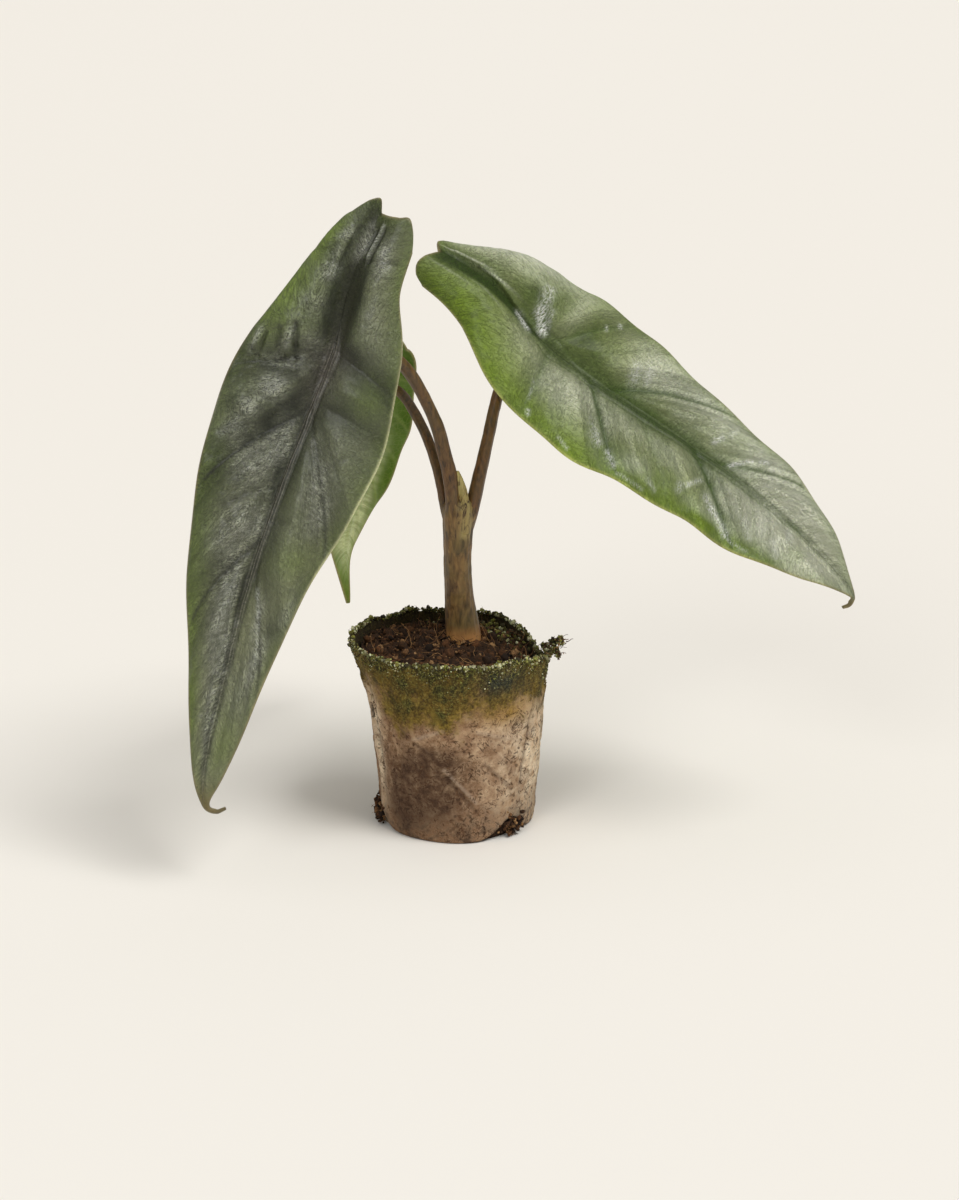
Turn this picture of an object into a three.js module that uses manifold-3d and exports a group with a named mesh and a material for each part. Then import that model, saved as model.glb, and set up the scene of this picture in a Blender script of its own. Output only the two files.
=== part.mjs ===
// Potted Alocasia heterophylla: a young plant with three leaves, rooted in a paper-wrapped plug of soil.
// Millimetres, +Z up. The origin is the middle of the flat underside, on the surface that the pot stands on.
// The plant is seen from the -Y side with +X to the right.
import * as THREE from 'three';
import { mergeVertices } from 'three/addons/utils/BufferGeometryUtils.js';
import Module from 'manifold-3d';

const wasm = await Module();
wasm.setup();

// Clear space that touching pieces keep between them
const GAP = 0.3;

// Paper sleeve: height and radius of its outer face, from the foot to the rim
const SLEEVE_PROFILE = [
  [0, 19.2], [4, 19.9], [10, 20.4], [18, 20.9], [24, 21.5], [31, 22.2], [38, 23.2], [43, 24.2], [49, 25.2],
];
const SLEEVE_WALL = 1.0;
const SLEEVE_SECTORS = 48;
const SLEEVE_ROWS = 6;
// Soft dents: how many round the sleeve, depth, twist per millimetre of height, start
const SLEEVE_DENTS = [[3, 0.25, 0.06, 0], [5, 0.2, -0.11, 2]];
// The rim is ragged, stands higher on one side and dips at the right; angles and spread in degrees
const RIM_HEIGHT = 47.3;
const RIM_LEAN = 0.8;
const RIM_LEAN_ANGLE = 210;
const RIM_DIP = 5.5;
const RIM_DIP_ANGLE = 10;
const RIM_DIP_SPREAD = 28;
const RIM_RAGS = [[7, 0.35, 1], [13, 0.25, 0]];
// The sleeve leans to the left towards its rim: the shift at the rim, and how late it sets in
const RIM_SHIFT = -1.95;
const RIM_SHIFT_POWER = 5;
// Two places where the foot of the sleeve is frayed away: angle, height and spread in degrees
const FOOT_NOTCHES = [[187, 5.4, 17], [314, 5, 16]];

// Soil
const SOIL_BELOW_RIM = 3;
const SOIL_MOUND = 2.4;
const SOIL_CLOD = 0.7;
// Coarse and fine clods: how many round the middle, radians from the middle to the edge, bend and swirl
const SOIL_CLODS = [{ round: 4, inward: 11, bend: 2, swirl: 2 }, { round: 9, inward: 19, bend: 3, swirl: 5 }];
const SOIL_RINGS = 8;
// Root knots that stand out of the frayed places: angle, distance from the axis, height, radius
const ROOT_KNOTS = [
  [186, 18.9, 2.3, 1.9], [193, 18.7, 1.7, 1.6], [180, 18.6, 1.6, 1.5], [312, 18.7, 2.1, 1.8],
  [319, 18.5, 1.5, 1.4],
];

// Moss on the rim
const MOSS_HEIGHT = 1.5;
const MOSS_HALF_WIDTH = 1.15;
// Lumps of its height and width: how many round the rim, share, start
const MOSS_HIGH_LUMPS = [[11, 0.3, 0], [25, 0.25, 2]];
const MOSS_WIDE_LUMPS = [[9, 0.2, 1], [21, 0.2, 0]];
// The part of its height at which the moss is widest
const MOSS_BELLY = 0.35;
const MOSS_SECTORS = 64;
const MOSS_SIDES = 7;
// Crumbs of the tuft that stands out at the right: place and radius
const MOSS_TUFT = [
  [23.2, 0.0, 44.2, 1.9], [24.8, -0.8, 45.2, 1.5], [26.1, 0.2, 46.6, 1.1], [24.4, 1.4, 46.3, 1.3],
  [25.4, -1.9, 44.0, 1.1], [26.2, -0.4, 47.9, 0.8], [22.6, 2.6, 44.8, 1.5], [22.9, -3.0, 45.2, 1.5],
];

// Stem: place and radius, from its foot in the soil to where the leaf stalks come out
const STEM = [
  [2.4, 4.6, 33, 2.6], [2.2, 4.4, 38, 3.8], [1.9, 4.1, 44, 4.4], [1.6, 4.0, 49, 4.3], [0.9, 3.6, 55, 3.8],
  [0.6, 3.0, 60, 3.6], [0.3, 2.5, 66, 3.5], [0.3, 2.0, 71, 3.5], [0.4, 1.7, 76, 3.8], [0.6, 1.4, 81, 3.9],
  [0.4, 1.2, 84, 2.6],
];
// Sheath edge that runs up beside the thick stalk to a point
const SHEATH = [
  [1.9, -0.6, 76, 1.5], [2.2, -0.8, 82, 1.3], [1.9, -0.8, 86, 1.0], [1.1, -0.9, 89.5, 0.7],
  [0.3, -1.1, 92, 0.4],
];
// Sides round each bar and the length of one of its rings
const STEM_SIDES = 14;
const STEM_STEP = 3;
const SHEATH_SIDES = 8;
const SHEATH_STEP = 2.5;
const STALK_SIDES = 8;
const STALK_STEP = 3.4;

// Blade thickness, and the height and half-width of the midrib below it
const BLADE = 0.7;
const MIDRIB_DEPTH = 1.3;
const MIDRIB_SPREAD = 1.1;
// The midrib keeps its depth up to this share of its length from the tip
const MIDRIB_TAPER = 0.6;
const LEAF_ROWS = 38;
const LEAF_COLUMNS = 8;
// Columns stand closer together near the midline
const COLUMN_POWER = 1.3;
// Length of one station, and the distance over which the blade rises from a vein
const STATION_LENGTH = 19;
const BULGE_REACH = 4;
// Depth of the basal ribs' valleys beside the midrib's, and the power with which valleys that meet blend
const BASAL_SHARE = 0.6;
const VALLEY_BLEND = 4;
// Where the blade is narrower than this, its bulges and waves shrink with it
const FULL_RELIEF_WIDTH = 9;
// Waves of the margin: radians a station, and the shift between the two halves
const WAVE_RATE = 5.2;
const WAVE_SHIFT = 2.1;
// The basal ribs curve out from the seat with this power
const BASAL_POWER = 0.7;

// Each leaf: stations along its midline, from the notch between the lobes over the stalk's seat to the tip.
// A station holds its place, its half-widths, its roll, and the angles at which each half rises from the
// midline and falls to the margin. The first side lies along the cross product of direction and facing.
const station = (place, half, angles, roll = 0) => ({ place, half, angles, roll });
const LEFT_LEAF = {
  facing: [-0.15, -0.93, 0.32],
  stations: [
    station([-17.5, -14, 159.5], [7, 11.2], [45, -40, 45, -40]),
    station([-24.5, -18, 144], [14, 13.5], [45, -40, 45, -40]),
    station([-29, -23, 128], [20.8, 17.5], [25, -20, 25, -20]),
    station([-36, -28, 111], [22.5, 20.5], [12, -12, 12, -12]),
    station([-43, -33, 94], [20.3, 18.7], [10, -12, 10, -12]),
    station([-49.5, -38, 74], [15.8, 13.6], [10, -12, 10, -12]),
    station([-55, -43, 51.5], [9.7, 9], [10, -10, 10, -10]),
    station([-60, -47, 31.5], [3.8, 5.5], [15, 0, 15, 0]),
    station([-60.5, -48, 22], [1, 1.2], [10, 0, 10, 0]),
    station([-58, -48.5, 20], [0.6, 0.6], [0, 0, 0, 0]),
    station([-55.5, -49, 21], [0.4, 0.4], [0, 0, 0, 0]),
  ],
  // Station where the blade starts on each half, at each quarter of the way from the midline to the margin
  ends: [[0, -0.17, -0.15, 0, 0.45], [0, 0, -0.03, -0.06, 0.22]],
  // Side veins of each half: the stations where they leave the midrib and reach the margin, and their depth
  veins: [
    [[2.05, 2.65, 0.8], [2.75, 4.2, 1], [3.6, 4.8, 0.4], [4.5, 5.6, 0.9], [5.7, 6.6, 0.6]],
    [[1.98, 2.3, 0.8], [2.68, 2.8, 0.6], [2.8, 4.55, 0.8], [4.75, 6.15, 0.8], [5.7, 7, 0.5]],
  ],
  basal: 0.33,
  bulge: 1.5,
  wave: 0.6,
};
const RIGHT_LEAF = {
  facing: [0.25, -0.65, 0.7],
  stations: [
    station([-4, 5, 146], [11.5, 7], [45, -50, 8, -95], 8),
    station([10, 2, 137], [15.8, 16.5], [45, -45, 45, -65], 4),
    station([21.5, -1, 124], [20.4, 22.6], [25, -20, 32, -38], 2),
    station([35.5, -4, 114], [22.9, 23.2], [12, -12, 15, -22]),
    station([49, -7, 106], [21.2, 18.9], [10, -12, 12, -15]),
    station([63.5, -9, 96.5], [19.8, 15], [10, -12, 10, -12]),
    station([77, -11, 85.5], [17.3, 13.2], [10, -10, 10, -10]),
    station([88.5, -12, 74.5], [10.4, 7.8], [15, 0, 15, 0]),
    station([97.5, -13, 64.5], [1.8, 1], [10, 0, 10, 0]),
    station([97.5, -13.5, 61.5], [0.6, 0.6], [0, 0, 0, 0]),
    station([95.5, -14, 60.5], [0.4, 0.4], [0, 0, 0, 0]),
  ],
  ends: [[0, -0.06, -0.13, -0.14, -0.02], [0, -0.1, -0.1, 0, 0.3]],
  veins: [
    [[2.1, 2.35, 0.7], [2.8, 3.98, 1], [3.65, 4.85, 0.5], [4.6, 6, 1], [5.6, 6.35, 0.5]],
    [[2, 2.95, 0.7], [3.1, 5, 0.9], [4.1, 5.6, 0.4], [5.05, 6.35, 0.9], [6.1, 7, 0.3]],
  ],
  basal: 0.25,
  bulge: 1.2,
  wave: 0.5,
};
const REAR_LEAF = {
  facing: [-0.4, 0.8, 0.45],
  stations: [
    station([-18, 22, 121], [4.5, 6], [35, -25, 35, -25]),
    station([-18.7, 27, 114.5], [7, 11], [35, -25, 35, -25]),
    station([-20, 32, 108.5], [10.8, 14], [25, -15, 25, -15]),
    station([-23, 46, 91], [13, 14], [18, -10, 18, -10]),
    station([-26, 58, 75.5], [12.2, 12], [18, -10, 18, -10]),
    station([-29, 68, 60], [7.5, 8], [18, -10, 18, -10]),
    station([-31, 75, 46.5], [2.3, 3.5], [20, 0, 20, 0]),
    station([-30.3, 78, 31.8], [0.6, 0.6], [10, 0, 10, 0]),
  ],
  ends: [[0, -0.1, 0, 0.3, 0.9], [0, -0.2, -0.3, -0.1, 0.4]],
  veins: [
    [[2, 2.5, 0.8], [2.4, 3.4, 0.8], [3, 4.2, 0.7], [3.8, 5, 0.8], [4.7, 5.9, 0.6]],
    [[2, 2.5, 0.8], [2.5, 3.5, 0.8], [3.1, 4.3, 0.7], [3.9, 5.1, 0.8], [4.8, 6, 0.6]],
  ],
  basal: 0.33,
  bulge: 0.8,
  wave: 0.6,
};
// Station of the stalk's seat on every leaf
const SEAT = 2;

// Leaf stalks: place and radius from the root in the stem upwards; the last points lie under the leaf's seat
const LEFT_STALK = [
  [-0.7, 0.2, 76.5, 1.7], [-0.9, -0.2, 83, 1.85], [-1.5, -1.2, 90, 1.85], [-2.9, -2, 96.5, 1.75],
  [-4.4, -3, 103, 1.7], [-6.4, -4, 108.5, 1.5], [-8.8, -6, 114, 1.5], [-11.6, -8.6, 119.3, 1.5],
  [-14.8, -11, 123.4, 1.5], [-18.8, -13, 126.3, 1.5], [-23.6, -15, 127.4, 1.6],
];
const RIGHT_STALK = [
  [2.9, 1.6, 76.5, 1.3], [3.7, 1.5, 80.5, 1.7], [4.9, 1.7, 86, 1.75], [7.3, 3, 96.5, 1.55],
  [9.4, 5, 106, 1.45], [10.6, 6.2, 110.5, 1.45], [13, 7, 115, 1.45], [16, 6.4, 118.6, 1.5],
];
const REAR_STALK = [
  [-1.7, 3.7, 76.5, 1.3], [-2.9, 3.6, 82, 1.4], [-4.1, 3.9, 88.5, 1.35], [-5.5, 4.8, 93.5, 1.3],
  [-7.8, 7, 99.5, 1.25], [-11.1, 11.5, 104.6, 1.25], [-13.6, 16.5, 106.8, 1.25], [-16, 22.5, 106.9, 1.3],
];
// Distance below the seat at which each stalk has turned to meet it
const STALK_TURN = 3;

const PAPER = { color: 0x9c8a6c, roughness: 0.95 };
const SOIL = { color: 0x2e2018, roughness: 1.0 };
const MOSS = { color: 0x7d8a3a, roughness: 1.0 };
const STEM_SKIN = { color: 0x6b5a35, roughness: 0.55 };
const STALK_SKIN = { color: 0x6a4a2c, roughness: 0.5 };
const DARK_LEAF = { color: 0x4c5b44, roughness: 0.4 };
const BRIGHT_LEAF = { color: 0x5f8238, roughness: 0.4 };

const DEGREE = Math.PI / 180;
const rise = (t) => Math.exp(-t * t);
const mix = (a, b, t) => a + (b - a) * t;
const total = (rows, value) => rows.reduce((sum, row) => sum + value(row), 0);
// Sum of ripples round the axis: how many, size, start
const ripples = (rows, angle) => total(rows, ([many, size, start]) => size * Math.sin(many * angle + start));

// Height of a smooth line through the values at 0, 1, 2..., which runs on straight past both ends
function smooth(values, t) {
  const last = values.length - 1;
  const i = Math.min(Math.max(Math.floor(t), 0), last - 1);
  const f = t - i;
  const b = values[i];
  const c = values[i + 1];
  const a = i > 0 ? values[i - 1] : 2 * b - c;
  const d = i < last - 1 ? values[i + 2] : 2 * c - b;
  const cubic = 3 * b - a - 3 * c + d;
  const square = 2 * a - 5 * b + 4 * c - d;
  return 0.5 * (2 * b + (c - a) * f + square * f * f + cubic * f * f * f);
}

// Straight-line reading of a table of [x, y] rows
function reading(table, x) {
  let i = 0;
  while (i < table.length - 2 && x > table[i + 1][0]) i += 1;
  const [x0, y0] = table[i];
  const [x1, y1] = table[i + 1];
  return mix(y0, y1, (x - x0) / (x1 - x0));
}

// A closed mesh from rows of points. Each row is a ring; the two ends are closed by a point, or joined.
function ringed(rows, endsJoined = false) {
  const count = rows[0].length;
  const points = rows.flat();
  const faces = [];
  const last = endsJoined ? rows.length : rows.length - 1;
  for (let i = 0; i < last; i += 1) {
    const low = i * count;
    const high = ((i + 1) % rows.length) * count;
    for (let j = 0; j < count; j += 1) {
      const k = (j + 1) % count;
      faces.push(low + j, low + k, high + k, low + j, high + k, high + j);
    }
  }
  if (!endsJoined) {
    for (const [row, forward] of [[0, false], [rows.length - 1, true]]) {
      const centre = rows[row].reduce((sum, p) => sum.add(p), new THREE.Vector3()).divideScalar(count);
      points.push(centre);
      for (let j = 0; j < count; j += 1) {
        const a = row * count + j;
        const b = row * count + ((j + 1) % count);
        faces.push(...(forward ? [a, b, points.length - 1] : [b, a, points.length - 1]));
      }
    }
  }
  return solid(points, faces);
}

function solid(points, faces) {
  const geometry = new THREE.BufferGeometry().setFromPoints(points);
  geometry.setIndex(faces);
  geometry.computeVertexNormals();
  return geometry;
}

// A round bar through [x, y, z, radius] rows; with extra it is thicker and longer by that much all round
function bar(rows, sides, step, extra = 0) {
  const places = rows.map(([x, y, z]) => new THREE.Vector3(x, y, z));
  const line = new THREE.CatmullRomCurve3(places, false, 'catmullrom', 0.5);
  const steps = Math.max(4, Math.round(line.getLength() / step));
  const frames = line.computeFrenetFrames(steps, false);
  const rings = [];
  for (let i = 0; i <= steps; i += 1) {
    const u = line.getUtoTmapping(i / steps);
    const centre = line.getPoint(u);
    const radius = smooth(rows.map((row) => row[3]), u * (rows.length - 1)) + extra;
    const ring = [];
    for (let j = 0; j < sides; j += 1) {
      const angle = (2 * Math.PI * j) / sides;
      const out = frames.normals[i].clone().multiplyScalar(Math.cos(angle));
      out.addScaledVector(frames.binormals[i], Math.sin(angle));
      ring.push(centre.clone().addScaledVector(out, radius));
    }
    rings.push(ring);
  }
  if (extra > 0) {
    const longer = (ring, along, by) => ring.map((p) => p.clone().addScaledVector(along, by));
    rings.unshift(longer(rings[0], frames.tangents[0], -extra));
    rings.push(longer(rings[rings.length - 1], frames.tangents[steps], extra));
  }
  return ringed(rings);
}

function toManifold(geometry) {
  const bare = geometry.clone();
  bare.deleteAttribute('normal');
  bare.deleteAttribute('uv');
  const merged = mergeVertices(bare, 1e-4);
  const vertProperties = Float32Array.from(merged.attributes.position.array);
  const triVerts = Uint32Array.from(merged.index.array);
  return new wasm.Manifold(new wasm.Mesh({ numProp: 3, vertProperties, triVerts }));
}

// The largest body of a cut solid, without loose scraps
function fromManifold(manifold) {
  const bodies = manifold.decompose().sort((a, b) => b.volume() - a.volume());
  const mesh = bodies[0].getMesh();
  const geometry = new THREE.BufferGeometry();
  geometry.setAttribute('position', new THREE.BufferAttribute(Float32Array.from(mesh.vertProperties), 3));
  geometry.setIndex(Array.from(mesh.triVerts));
  geometry.computeVertexNormals();
  return geometry;
}

// Paper sleeve and what fills it

const polar = (radius, angle, z, shift = 0) =>
  new THREE.Vector3(shift + radius * Math.cos(angle), radius * Math.sin(angle), z);

function angleFrom(angle, degrees) {
  const turn = (angle / DEGREE - degrees) % 360;
  return turn > 180 ? turn - 360 : turn < -180 ? turn + 360 : turn;
}

function rimHeight(angle) {
  const dip = RIM_DIP * rise(angleFrom(angle, RIM_DIP_ANGLE) / RIM_DIP_SPREAD);
  const lean = RIM_LEAN * Math.cos(angle - RIM_LEAN_ANGLE * DEGREE);
  return RIM_HEIGHT + lean - dip + ripples(RIM_RAGS, angle);
}

function footHeight(angle) {
  return total(FOOT_NOTCHES, ([at, height, spread]) => height * rise(angleFrom(angle, at) / spread));
}

// The sleeve's outer radius with its soft dents, and the shift of its middle towards the rim
function sleeveRadius(angle, z) {
  const dents = SLEEVE_DENTS.map(([many, depth, twist, start]) => [many, depth, twist * z + start]);
  return reading(SLEEVE_PROFILE, z) + ripples(dents, angle);
}
const sleeveShift = (z) => RIM_SHIFT * Math.pow(z / RIM_HEIGHT, RIM_SHIFT_POWER);

function sleeve() {
  const rows = [];
  for (const [inset, backwards] of [[0, false], [SLEEVE_WALL, true]]) {
    for (let i = 0; i <= SLEEVE_ROWS; i += 1) {
      const v = (backwards ? SLEEVE_ROWS - i : i) / SLEEVE_ROWS;
      const row = [];
      for (let j = 0; j < SLEEVE_SECTORS; j += 1) {
        const angle = (2 * Math.PI * j) / SLEEVE_SECTORS;
        const z = mix(footHeight(angle), rimHeight(angle), v);
        row.push(polar(sleeveRadius(angle, z) - inset, angle, z, sleeveShift(z)));
      }
      rows.push(row);
    }
  }
  return ringed(rows, true);
}

// Height of the soil at a share of the way from the middle to the sleeve
function soilTop(angle, share) {
  const edge = rimHeight(angle) - SOIL_BELOW_RIM;
  const middle = RIM_HEIGHT - SOIL_BELOW_RIM + SOIL_MOUND;
  const clods = total(SOIL_CLODS, ({ round, inward, bend, swirl }) => {
    const across = Math.sin(round * angle + swirl * Math.sin(inward * share));
    return across * Math.cos(inward * share + bend * Math.sin(angle));
  });
  return mix(middle, edge, share * share) + SOIL_CLOD * clods * Math.sqrt(share);
}

function soil() {
  const inner = (angle, z) => sleeveRadius(angle, z) - SLEEVE_WALL - GAP;
  const rows = [];
  const angles = Array.from({ length: SLEEVE_SECTORS }, (_, j) => (2 * Math.PI * j) / SLEEVE_SECTORS);
  const sector = (make) => angles.map(make);
  rows.push(sector((angle) => polar(inner(angle, 0), angle, 0, sleeveShift(0))));
  for (let i = 1; i <= SLEEVE_ROWS; i += 1) {
    rows.push(sector((angle) => {
      const z = (soilTop(angle, 1) * i) / SLEEVE_ROWS;
      return polar(inner(angle, z), angle, z, sleeveShift(z));
    }));
  }
  for (let i = SOIL_RINGS - 1; i > 0; i -= 1) {
    const share = i / SOIL_RINGS;
    rows.push(sector((angle) => {
      const edge = soilTop(angle, 1);
      return polar(inner(angle, edge) * share, angle, soilTop(angle, share), sleeveShift(edge));
    }));
  }
  let body = toManifold(ringed(rows));
  for (const [at, distance, z, radius] of ROOT_KNOTS) {
    const knot = new THREE.IcosahedronGeometry(radius, 1);
    const place = polar(distance, at * DEGREE, z);
    body = body.add(toManifold(knot.translate(place.x, place.y, place.z)));
  }
  return fromManifold(body.subtract(toManifold(bar(STEM, STEM_SIDES, STEM_STEP, GAP))));
}

function moss() {
  const rings = [];
  for (let i = 0; i < MOSS_SECTORS; i += 1) {
    const angle = (2 * Math.PI * i) / MOSS_SECTORS;
    const foot = rimHeight(angle) + GAP;
    const middle = sleeveRadius(angle, foot) - SLEEVE_WALL / 2;
    const height = MOSS_HEIGHT * (1 + ripples(MOSS_HIGH_LUMPS, angle));
    const half = MOSS_HALF_WIDTH * (1 + ripples(MOSS_WIDE_LUMPS, angle));
    const ring = [];
    for (let j = 0; j < MOSS_SIDES; j += 1) {
      const turn = (2 * Math.PI * j) / MOSS_SIDES;
      const out = middle - half * Math.cos(turn);
      const up = foot + Math.max(0, height * (MOSS_BELLY + (1 - MOSS_BELLY) * Math.sin(turn)));
      ring.push(polar(out, angle, up, sleeveShift(foot)));
    }
    rings.push(ring);
  }
  let body = toManifold(ringed(rings, true));
  for (const [x, y, z, radius] of MOSS_TUFT) {
    body = body.add(toManifold(new THREE.IcosahedronGeometry(radius, 1).translate(x, y, z)));
  }
  return fromManifold(body);
}

// Leaves

const side = (b) => (b >= 0 ? 0 : 1);

// The frame of a leaf's midline: its point, the facing direction and the direction across
function midline(leaf, u) {
  const track = (axis) => leaf.stations.map((s) => s.place[axis]);
  const at = (v) => new THREE.Vector3(smooth(track(0), v), smooth(track(1), v), smooth(track(2), v));
  const along = at(u + 0.001).sub(at(u - 0.001)).normalize();
  const facing = new THREE.Vector3(...leaf.facing);
  const level = facing.addScaledVector(along, -facing.dot(along)).normalize();
  const across = new THREE.Vector3().crossVectors(along, level);
  const roll = smooth(leaf.stations.map((s) => s.roll), u) * DEGREE;
  const up = level.clone().multiplyScalar(Math.cos(roll)).addScaledVector(across, Math.sin(roll));
  return { point: at(u), up, across: new THREE.Vector3().crossVectors(along, up) };
}

const halfWidth = (leaf, u, b) => Math.max(0.4, smooth(leaf.stations.map((s) => s.half[side(b)]), u));

// Height of the quilted blade between its veins, which lie in the valleys, and of the margin's waves
function relief(leaf, u, b) {
  const share = Math.abs(b);
  const width = halfWidth(leaf, u, b);
  const valley = (distance, depth) => Math.pow(depth * rise(distance / BULGE_REACH), VALLEY_BLEND);
  let valleys = valley(share * width, 1);
  for (const [from, to, depth] of leaf.veins[side(b)]) {
    const run = (to - from) * STATION_LENGTH;
    const away = Math.abs(u - mix(from, to, share)) * STATION_LENGTH;
    valleys += valley((away * width) / Math.hypot(width, run), depth);
  }
  if (u < SEAT) {
    const rib = leaf.basal * Math.pow(1 - u / SEAT, BASAL_POWER);
    valleys += valley(Math.abs(share - rib) * width, BASAL_SHARE);
  }
  const hollow = Math.min(1, Math.pow(valleys, 1 / VALLEY_BLEND));
  const size = Math.min(1, width / FULL_RELIEF_WIDTH);
  const bulge = leaf.bulge * size * (1 - hollow) * (1 - Math.pow(share, 4));
  const wave = leaf.wave * size * Math.pow(share, 3) * Math.sin(WAVE_RATE * u + (b > 0 ? 0 : WAVE_SHIFT));
  return bulge + wave;
}

// A point of the blade's middle layer, at station u and at b from -1 to 1 across
function bladePoint(leaf, u, b) {
  const { point, up, across } = midline(leaf, u);
  const angle = (k) => smooth(leaf.stations.map((s) => s.angles[2 * side(b) + k]), u) * DEGREE;
  const first = angle(0);
  const turn = angle(1) - first || 1e-4;
  const width = halfWidth(leaf, u, b);
  const last = first + turn * Math.abs(b);
  const out = (width / turn) * (Math.sin(last) - Math.sin(first));
  const lift = (width / turn) * (Math.cos(first) - Math.cos(last)) + relief(leaf, u, b);
  return point.addScaledVector(across, Math.sign(b) * out).addScaledVector(up, lift);
}

function bladeNormal(leaf, u, b) {
  const along = bladePoint(leaf, u + 0.02, b).sub(bladePoint(leaf, u - 0.02, b));
  const across = bladePoint(leaf, u, Math.min(1, b + 0.02)).sub(bladePoint(leaf, u, Math.max(-1, b - 0.02)));
  return across.cross(along).normalize();
}

const bladeStart = (leaf, b) => smooth(leaf.ends[side(b)], 4 * Math.abs(b));

// How far the midrib stands out below the blade
function ribDepth(leaf, u, b) {
  const left = 1 - u / (leaf.stations.length - 1);
  return MIDRIB_DEPTH * Math.min(1, left / MIDRIB_TAPER) * rise((b * halfWidth(leaf, u, b)) / MIDRIB_SPREAD);
}

function blade(leaf) {
  const tip = leaf.stations.length - 1;
  const rings = [];
  for (let i = 0; i <= LEAF_ROWS; i += 1) {
    const above = [];
    const below = [];
    for (let j = -LEAF_COLUMNS; j <= LEAF_COLUMNS; j += 1) {
      const b = Math.sign(j) * Math.pow(Math.abs(j) / LEAF_COLUMNS, COLUMN_POWER);
      const u = mix(bladeStart(leaf, b), tip, i / LEAF_ROWS);
      const point = bladePoint(leaf, u, b);
      const normal = bladeNormal(leaf, u, b);
      above.push(point.clone().addScaledVector(normal, BLADE / 2));
      below.unshift(point.clone().addScaledVector(normal, -BLADE / 2 - ribDepth(leaf, u, b)));
    }
    rings.push([above, below]);
  }
  return sheet(rings);
}

// A closed skin over two layers of points, with the same diagonals on both
function sheet(rings) {
  const width = rings[0][0].length;
  const points = rings.flatMap(([above, below]) => [...above, ...below]);
  const top = (i, j) => i * 2 * width + j;
  const bottom = (i, j) => i * 2 * width + 2 * width - 1 - j;
  const faces = [];
  const last = rings.length - 1;
  for (let i = 0; i < last; i += 1) {
    for (let j = 0; j < width - 1; j += 1) {
      const [a, b, c, d] = [top(i, j), top(i, j + 1), top(i + 1, j + 1), top(i + 1, j)];
      faces.push(a, c, d, a, b, c);
      const [e, f, g, h] = [bottom(i, j), bottom(i, j + 1), bottom(i + 1, j + 1), bottom(i + 1, j)];
      faces.push(e, h, g, e, g, f);
    }
    for (const [j, flip] of [[0, true], [width - 1, false]]) {
      const quad = [top(i, j), bottom(i, j), bottom(i + 1, j), top(i + 1, j)];
      if (flip) quad.reverse();
      faces.push(quad[0], quad[1], quad[2], quad[0], quad[2], quad[3]);
    }
  }
  for (const [i, flip] of [[0, false], [last, true]]) {
    for (let j = 0; j < width - 1; j += 1) {
      const quad = [top(i, j), bottom(i, j), bottom(i, j + 1), top(i, j + 1)];
      if (flip) quad.reverse();
      faces.push(quad[0], quad[1], quad[2], quad[0], quad[2], quad[3]);
    }
  }
  return solid(points, faces);
}

// A stalk's rows with the two last ones set square under its leaf's seat
function stalkRows(rows, leaf) {
  const seat = bladePoint(leaf, SEAT, 0);
  const normal = bladeNormal(leaf, SEAT, 0);
  const radius = rows[rows.length - 1][3];
  const below = (distance) => [...seat.clone().addScaledVector(normal, -distance).toArray(), radius];
  const end = BLADE / 2 + MIDRIB_DEPTH + GAP;
  return [...rows, below(end + STALK_TURN), below(end)];
}

const LEFT_ROWS = stalkRows(LEFT_STALK, LEFT_LEAF);
const RIGHT_ROWS = stalkRows(RIGHT_STALK, RIGHT_LEAF);
const REAR_ROWS = stalkRows(REAR_STALK, REAR_LEAF);

// The stem with its sheath edge, and the plain sockets that the stalks root in
function stem() {
  let body = toManifold(bar(STEM, STEM_SIDES, STEM_STEP));
  body = body.add(toManifold(bar(SHEATH, SHEATH_SIDES, SHEATH_STEP)));
  for (const rows of [LEFT_ROWS, RIGHT_ROWS, REAR_ROWS]) {
    body = body.subtract(toManifold(bar(rows, STALK_SIDES, STALK_STEP, GAP)));
  }
  return fromManifold(body);
}

function piece(name, geometry, material) {
  const mesh = new THREE.Mesh(geometry, new THREE.MeshStandardMaterial({ metalness: 0, ...material }));
  mesh.name = name;
  return mesh;
}

const plant = new THREE.Group();
plant.add(
  piece('paper_sleeve', sleeve(), PAPER),
  piece('growing_medium', soil(), SOIL),
  piece('rim_moss', moss(), MOSS),
  piece('stem', stem(), STEM_SKIN),
  piece('petiole_left', bar(LEFT_ROWS, STALK_SIDES, STALK_STEP), STALK_SKIN),
  piece('petiole_right', bar(RIGHT_ROWS, STALK_SIDES, STALK_STEP), STALK_SKIN),
  piece('petiole_rear', bar(REAR_ROWS, STALK_SIDES, STALK_STEP), STALK_SKIN),
  piece('leaf_left', blade(LEFT_LEAF), DARK_LEAF),
  piece('leaf_right', blade(RIGHT_LEAF), BRIGHT_LEAF),
  piece('leaf_rear', blade(REAR_LEAF), BRIGHT_LEAF),
);

export default plant;
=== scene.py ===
"""Potted Alocasia heterophylla: the fine surfaces, their materials, the floor, the light and the camera."""
import math
from types import SimpleNamespace

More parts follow.
